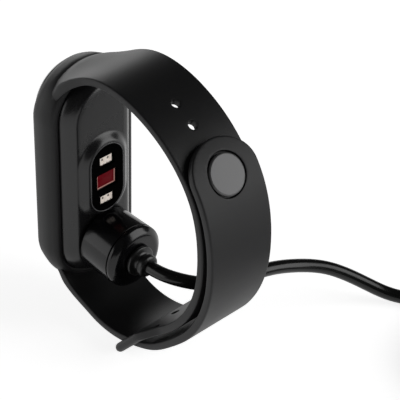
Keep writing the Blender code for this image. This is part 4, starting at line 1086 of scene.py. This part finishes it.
# %% Light packages
WELL_Y, WELL_RISE = 0.72, 0.12
PACKAGE_SIZE = (1.0, 3.3, 2.05)
NOTCH_SIZE, DIE_SIZE, PAD_SIZE = (1.6, 0.3, 0.62), (0.08, 0.42, 0.5), (0.5, 0.4, 0.16)
PAD_PITCH = 0.8
DIE = finish("led_wells", (0.20, 0.19, 0.18), 0.35, grain=5000, bump=0.2)
for end, sign in (("upper", 1), ("lower", -1)):
    middle = (OPTIC_TOP - 0.5, 0, OPTIC_Z + sign * LED_Z)
    package = block(f"led_package_{end}", PACKAGE_SIZE, middle, 0.12, 3)
    for y in (-WELL_Y, WELL_Y):
        well = slotted("well", [(0.36, OPTIC_TOP - 0.2), (0.46, OPTIC_TOP + 0.4)], 0.16, 12,
                       centre=(y, middle[2] + WELL_RISE))
        combined(package, well, "DIFFERENCE")
    notches = row("notches", "box", 4, (OPTIC_TOP - 0.3, -1.2, middle[2] - 1.05), (0, PAD_PITCH, 0),
                  NOTCH_SIZE, CERAMIC_WITH_PAINTED_GLOW)
    combined(package, notches, "DIFFERENCE")
    placed(package, "tracker", CERAMIC_WITH_PAINTED_GLOW, (f"led_{end}",))
    dies = row(f"led_dies_{end}", "box", 2, (OPTIC_TOP - 0.18, -WELL_Y, middle[2] + WELL_RISE),
               (0, 2 * WELL_Y, 0), DIE_SIZE, DIE)
    placed(rounded_edges(dies, 0.03, 1), "tracker", DIE)
    pads = row(f"led_pads_{end}", "box", 3, (OPTIC_TOP - 0.28, -PAD_PITCH, middle[2] - 1.0),
               (0, PAD_PITCH, 0), PAD_SIZE, CERAMIC_WITH_PAINTED_GLOW)
    placed(rounded_edges(pads, 0.03, 1), "tracker", STEEL)

# %% [markdown]
# The cover glass is a slot with a flat face and a long rounded edge. It is glossy black all over, because
# its back is printed black and the display is off.

# %% Cover glass
glass_back, glass_front = -9.2, -10.8
glass_corners = [
    (0, glass_back), (FLANGE_RADIUS - 0.3, glass_back), (FLANGE_RADIUS - 0.25, glass_back - 0.3),
    (FLANGE_RADIUS - 1.0, glass_front + 0.3), (FLANGE_RADIUS - 2.2, glass_front), (0, glass_front),
]
glass_profile = softened(glass_corners, [0, 0.08, 0.3, 0.8, 0.8, 0], 7)
cover_glass = slotted("cover_glass", glass_profile, END_REACH, 48, 8)
placed(cover_glass, "tracker", GLASS, ("front_glass",))

# %% [markdown]
# ## Charger head and sleeve
# The head is a turned cup, a narrow dark groove and a cap with a well rounded rim. The sleeve that
# protects the cord has a collar on the cap, a waist and a ring at its end.

# %% Charger head
HEAD_START, HEAD_END = 0.5, 8.1
CAP_START, CAP_END = 8.4, 10.1
CUP_RADIUS, CUP_FLOOR = 5.8, 0.9
PIN_BORE = 0.85
GROOVE_OUTER, GROOVE_INNER = 6.35, 5.9
CAP_BORE = 2.3
charger_centre = (0, CHARGER_Z)
body_corners = [(0, HEAD_START), (CHARGER_RADIUS, HEAD_START), (CHARGER_RADIUS, HEAD_END),
                (CUP_RADIUS, HEAD_END), (CUP_RADIUS, HEAD_START + CUP_FLOOR), (0, HEAD_START + CUP_FLOOR)]
body_profile = softened(body_corners, [0, 0.35, 0.12, 0.05, 0.1, 0], 6)
charger_body = slotted("charger_body", body_profile, 0, 65, centre=charger_centre)
for side in (-1, 1):
    pin_place = (side * CONTACT_Y, CHARGER_Z)
    pin_bore = slotted("pin_bore", [(PIN_BORE, -1), (PIN_BORE, 3)], 0, 16, centre=pin_place)
    combined(charger_body, pin_bore, "DIFFERENCE")
placed(charger_body, "charger", GLOSS, ("charger_housing",))
groove_start, groove_end = HEAD_END - 0.4, CAP_START + 0.4
groove_profile = [(GROOVE_OUTER, groove_start), (GROOVE_OUTER, groove_end), (GROOVE_INNER, groove_end),
                  (GROOVE_INNER, groove_start)]
groove_ring = slotted("charger_groove", groove_profile, 0, 65, closed=True, centre=charger_centre)
placed(groove_ring, "charger", RELIEF)
cap_corners = [(CAP_BORE, CAP_START), (CHARGER_RADIUS, CAP_START), (CHARGER_RADIUS - 0.04, CAP_END - 1.1),
               (CHARGER_RADIUS - 1.3, CAP_END), (CAP_BORE, CAP_END)]
cap_profile = softened(cap_corners, [0.05, 0.12, 1.0, 1.2, 0.05], 9, closed=True)
charger_cap = slotted("charger_end_cap", cap_profile, 0, 65, closed=True, centre=charger_centre)
placed(charger_cap, "charger", GLOSS, ("charger_cap",))

# %% [markdown]
# The sleeve is one more turned profile. Its plug is inside the cap, its collar lies on the cap's face,
# and the cord starts inside its narrow end.

# %% The cord's sleeve
SLEEVE_END = 13.6
sleeve_corners = [(0, CAP_START), (2.2, CAP_START), (2.2, CAP_END + 0.3), (3.2, CAP_END + 0.3),
                  (3.2, CAP_END + 1.0), (2.2, CAP_END + 1.15), (1.8, CAP_END + 1.4), (1.78, SLEEVE_END - 1.4),
                  (2.35, SLEEVE_END - 1.25), (2.35, SLEEVE_END - 0.3), (1.9, SLEEVE_END), (0, SLEEVE_END)]
sleeve_radii = [0, 0.1, 0.05, 0.2, 0.25, 0.15, 0.3, 0.2, 0.15, 0.25, 0.2, 0]
cord_sleeve = slotted("cord_sleeve", softened(sleeve_corners, sleeve_radii, 6), 0, 41, centre=charger_centre)
placed(cord_sleeve, "charger", RELIEF, ("strain_relief",))

# %% [markdown]
# ## Tie and plug
# The tie is a woven strip round the coil, with a rounded fold at each corner and one overlapping end. It
# is made about the origin and then turned and moved to its place on the coil.


# %% Tie round the coil
TIE_HALF, TIE_THICKNESS, TIE_WIDTH = 3.1, 0.5, 3.9
FOLD = 1.6


def strip_loop(name, half_x, half_z, thickness, width):
    """A closed strip round a rectangle, its corners rounded, as a hollow solid about the origin."""
    corners = ((-1, -1), (1, -1), (1, 1), (-1, 1))
    inner = softened([(x * half_x, z * half_z) for x, z in corners], FOLD, 7, closed=True)
    outer_corners = [(x * (half_x + thickness), z * (half_z + thickness)) for x, z in corners]
    outer = softened(outer_corners, FOLD + thickness, 7, closed=True)
    rings = []
    for loop, y in ((inner, -width / 2), (outer, -width / 2), (outer, width / 2), (inner, width / 2)):
        rings.append([(x, y, z) for x, z in loop])
    return skin(name, rings, closed=True)


coil_z = (tie_low.z + tie_high.z) / 2 / MM
coil_middle = coil_radius - CORD_DIAMETER
tie = strip_loop("coil_tie", TIE_HALF, TIE_HALF, TIE_THICKNESS, TIE_WIDTH)
flap = block("tie_flap", (4.2, TIE_WIDTH, 0.45), (0.4, 0, 3.72), 0.15, 2)
combined(tie, flap, "UNION")
rounded_edges(tie, 0.1, 1, 50)
tie_place = (Matrix.Translation((*coil_centre, coil_z)) @ Matrix.Rotation(TIE_ANGLE, 4, "Z")
             @ Matrix.Translation((coil_middle, 0, 0)))
placed(tie, "charger", WOVEN, ("cord_tie",), units=Matrix.Scale(MM, 4) @ tie_place)


# %% [markdown]
# The plug's grip has a row of ribs cut into each side and a stepped neck that lets the cord bend. Its
# sizes are read from the frame's boxes.


# %% Plug grip
def box_mm(node):
    """A CAD piece's low and high corners, in the frame's millimetres."""
    low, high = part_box(node)
    return np.array(low) / MM, np.array(high) / MM


IN_MM = Matrix.Scale(MM, 4)
grip_low, grip_high = box_mm("usb_grip")
grip_size = grip_high - grip_low
grip_middle = (grip_low + grip_high) / 2
NECK = 5.0
NECK_STEPS, RIB_COUNT, RIB_PITCH = 4, 7, 1.5
body_length = grip_size[1] - NECK
body_middle_y = grip_low[1] + body_length / 2
grip = block("plug_grip", (grip_size[0], body_length, grip_size[2]),
             (grip_middle[0], body_middle_y, grip_middle[2]), 1.5, 5)
for side in (-1, 1):
    first_y = body_middle_y - RIB_PITCH * (RIB_COUNT - 1) / 2
    first_rib = (grip_middle[0] + side * grip_size[0] / 2, first_y, grip_middle[2])
    rib_size = (0.5, 0.6, grip_size[2] * 0.55)
    ribs = row("rib_grooves", "box", RIB_COUNT, first_rib, (0, RIB_PITCH, 0), rib_size, GRIP)
    combined(grip, ribs, "DIFFERENCE")
neck_profile = [(0, 0)]
for i in range(NECK_STEPS):
    wide, narrow, start = 2.5 - 0.17 * i, 2.05 - 0.12 * i, 1.2 * i
    neck_profile += [(wide, start), (wide, start + 0.75), (narrow, start + 0.85), (narrow, start + 1.1)]
neck_profile += [(1.8, NECK), (0, NECK)]
neck = slotted("neck", [(r, x - 0.5) for r, x in neck_profile], 0, 25)
neck.data.transform(Matrix.Translation((grip_middle[0], grip_high[1] - NECK, grip_middle[2]))
                    @ Matrix.Rotation(math.pi / 2, 4, "Z"))
combined(grip, neck, "UNION")
placed(grip, "charger", GRIP, ("usb_grip",), units=IN_MM)

# %% [markdown]
# The steel shell is a hollow block with two spring windows in its top and bottom. The white tongue inside
# it carries a row of four gold contacts.

# %% Plug shell, tongue and contacts
SHELL_WALL = 0.35
shell_low, shell_high = box_mm("usb_shell")
shell_size, shell_middle = shell_high - shell_low, (shell_low + shell_high) / 2
plug_shell = block("plug_shell", shell_size, shell_middle, 0.45, 4)
inside_size = shell_size - np.array([2 * SHELL_WALL, -1.0, 2 * SHELL_WALL])
inside = block("inside", inside_size, shell_middle - np.array([0, 1.0, 0]), 0.25, 3)
combined(plug_shell, inside, "DIFFERENCE")
first_window = (shell_middle[0] - 2.8, shell_middle[1] + 0.6, shell_middle[2])
windows = row("spring_windows", "box", 2, first_window, (5.6, 0, 0), (2.3, 2.3, 8), STEEL)
combined(plug_shell, windows, "DIFFERENCE")
placed(plug_shell, "charger", STEEL, ("usb_shell",), units=IN_MM)
tongue_low, tongue_high = box_mm("usb_tongue")
tongue_size, tongue_middle = tongue_high - tongue_low, (tongue_low + tongue_high) / 2
tongue = block("plug_tongue", tongue_size, tongue_middle, 0.2, 3)
placed(tongue, "charger", WHITE, ("usb_tongue",), units=IN_MM)
first_finger = (tongue_middle[0] - 3.5, tongue_middle[1] - 1.0, tongue_low[2] - 0.01)
finger_size = (1.0, tongue_size[1] - 3.0, 0.12)
fingers = row("plug_contacts", "box", 4, first_finger, (2.33, 0, 0), finger_size, GOLD)
placed(rounded_edges(fingers, 0.03, 1), "charger", GOLD, units=IN_MM)

# %% [markdown]
# ## Pieces carried over from the frame
# Pins, contacts and everything sealed inside keep the frame's own meshes, because their shape is right.
# They get procedural finishes as well, since some of them show when the capsule or the charger comes off.

# %% Finishes for the carried-over pieces
MAGNET = finish("nickel_plate", (0.66, 0.66, 0.67), 0.2, metallic=1.0, grain=2500, bump=0.05)
BOARD = finish("circuit_board", (0.008, 0.10, 0.05), 0.45, grain=1200, bump=0.25, tone=0.35, wear=0.3)
CHIP = finish("chip_package", (0.02, 0.02, 0.021), 0.5, grain=4000, bump=0.2)
FOIL = finish("battery_foil", (0.5, 0.51, 0.53), 0.33, metallic=0.7, grain=700, bump=0.3, tone=0.15)
PLATE = finish("stamped_plate", (0.4, 0.4, 0.41), 0.4, metallic=0.9, grain=1500, bump=0.1)
TAPE = finish("foam_tape", (0.012, 0.012, 0.012), 0.8, grain=3000, bump=0.4)
PANEL = finish("display_face", (0.006, 0.007, 0.012), 0.15, grain=1500, bump=0.02)
carried = {
    "contact_near": GOLD, "contact_far": GOLD, "pogo_pin_near": GOLD, "pogo_pin_far": GOLD,
    "dock_magnet_upper": MAGNET, "dock_magnet_lower": MAGNET, "charger_magnet_upper": MAGNET,
    "charger_magnet_lower": MAGNET, "main_board": BOARD, "sensor_board": CHIP, "charger_board": BOARD,
    "processor_chip": CHIP, "radio_chip": CHIP, "battery": FOIL, "vibration_motor": STEEL,
    "inner_frame": PLATE, "glass_adhesive": TAPE, "display_panel": PANEL,
}
for name, material in carried.items():
    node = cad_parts[name]
    node.data.materials.clear()
    node.data.materials.append(material)
print("carried over:", len(carried))

# %% [markdown]
# ## Floor and light
# A product like this is shown on a white table that glows from below, among three soft boxes and under a
# dark ceiling. The dark ceiling is what keeps black rubber black, and the soft boxes draw the long
# highlights along its curves. The table and the world are bright where the camera sees them directly, and
# dimmer in what they give to the object, as if black cards stood just out of view.


# %% Strength by kind of ray
def strength_by_ray(nodes, links, seen, given):
    """seen is for what the camera looks at directly, given is for the light that reaches other surfaces."""
    path = nodes.new("ShaderNodeLightPath")
    return math_node(nodes, links, "MULTIPLY_ADD", path.outputs["Is Camera Ray"], seen - given, given)


# %% [markdown]
# The floor is one large square of a pale, matt material. The world is a plain white background.

# %% Floor and world
HALF_FLOOR = 6.0
SEEN_FLOOR, GIVEN_FLOOR = 0.80, 0.65
SEEN_WORLD, GIVEN_WORLD = 1.0, 0.05
floor_mesh = bpy.data.meshes.new("floor")
floor_corners = [(x * HALF_FLOOR, y * HALF_FLOOR, 0) for x, y in ((-1, -1), (1, -1), (1, 1), (-1, 1))]
floor_mesh.from_pydata(floor_corners, [], [(0, 1, 2, 3)])
floor = on_bench("floor", floor_mesh)
pale = bpy.data.materials.new("pale_table")
pale.use_nodes = True
pale_nodes, pale_links = pale.node_tree.nodes, pale.node_tree.links
table = pale_nodes["Principled BSDF"]
table.inputs["Base Color"].default_value = (0.85, 0.85, 0.85, 1)
table.inputs["Roughness"].default_value = 0.9
table.inputs["Specular IOR Level"].default_value = 0.1
table.inputs["Emission Color"].default_value = (1, 1, 1, 1)
floor_strength = strength_by_ray(pale_nodes, pale_links, SEEN_FLOOR, GIVEN_FLOOR)
pale_links.new(floor_strength, table.inputs["Emission Strength"])
floor_mesh.materials.append(pale)
world = bpy.data.worlds.new("studio")
world.use_nodes = True
world_nodes, world_links = world.node_tree.nodes, world.node_tree.links
sky = world_nodes["Background"]
sky.inputs["Color"].default_value = (1, 1, 1, 1)
world_strength = strength_by_ray(world_nodes, world_links, SEEN_WORLD, GIVEN_WORLD)
world_links.new(world_strength, sky.inputs["Strength"])
bpy.context.scene.world = world
bpy.context.scene.view_settings.view_transform = "Standard"


# %% [markdown]
# Each lamp is a soft box: an area lamp given by its direction from the band, its distance, its two sides
# and how bright its surface is. The camera doesn't see them.


# %% Lamps
BAND_MIDDLE = Vector((0.01, 0, 0.03))


def soft_box(name, direction, distance, width, height, radiance):
    """A rectangular lamp of this brightness, aimed at the middle of the band from a direction."""
    data = bpy.data.lights.new(name, "AREA")
    data.shape = "RECTANGLE"
    data.size = width
    data.size_y = height
    data.energy = math.pi * width * height * radiance
    obj = bpy.data.objects.new(name, data)
    bpy.context.scene.collection.objects.link(obj)
    towards = Vector(direction).normalized()
    obj.location = BAND_MIDDLE + distance * towards
    obj.rotation_euler = (-towards).to_track_quat("-Z", "Y").to_euler()
    obj.visible_camera = False
    return obj


soft_box("left_box", (-0.50, -0.85, 0.16), 1.0, 1.4, 0.7, 1.3)
soft_box("back_left_box", (-0.92, 0.36, 0.14), 1.0, 0.7, 0.45, 2.4)
soft_box("right_box", (0.76, 0.60, 0.32), 1.0, 0.8, 0.9, 3.0)
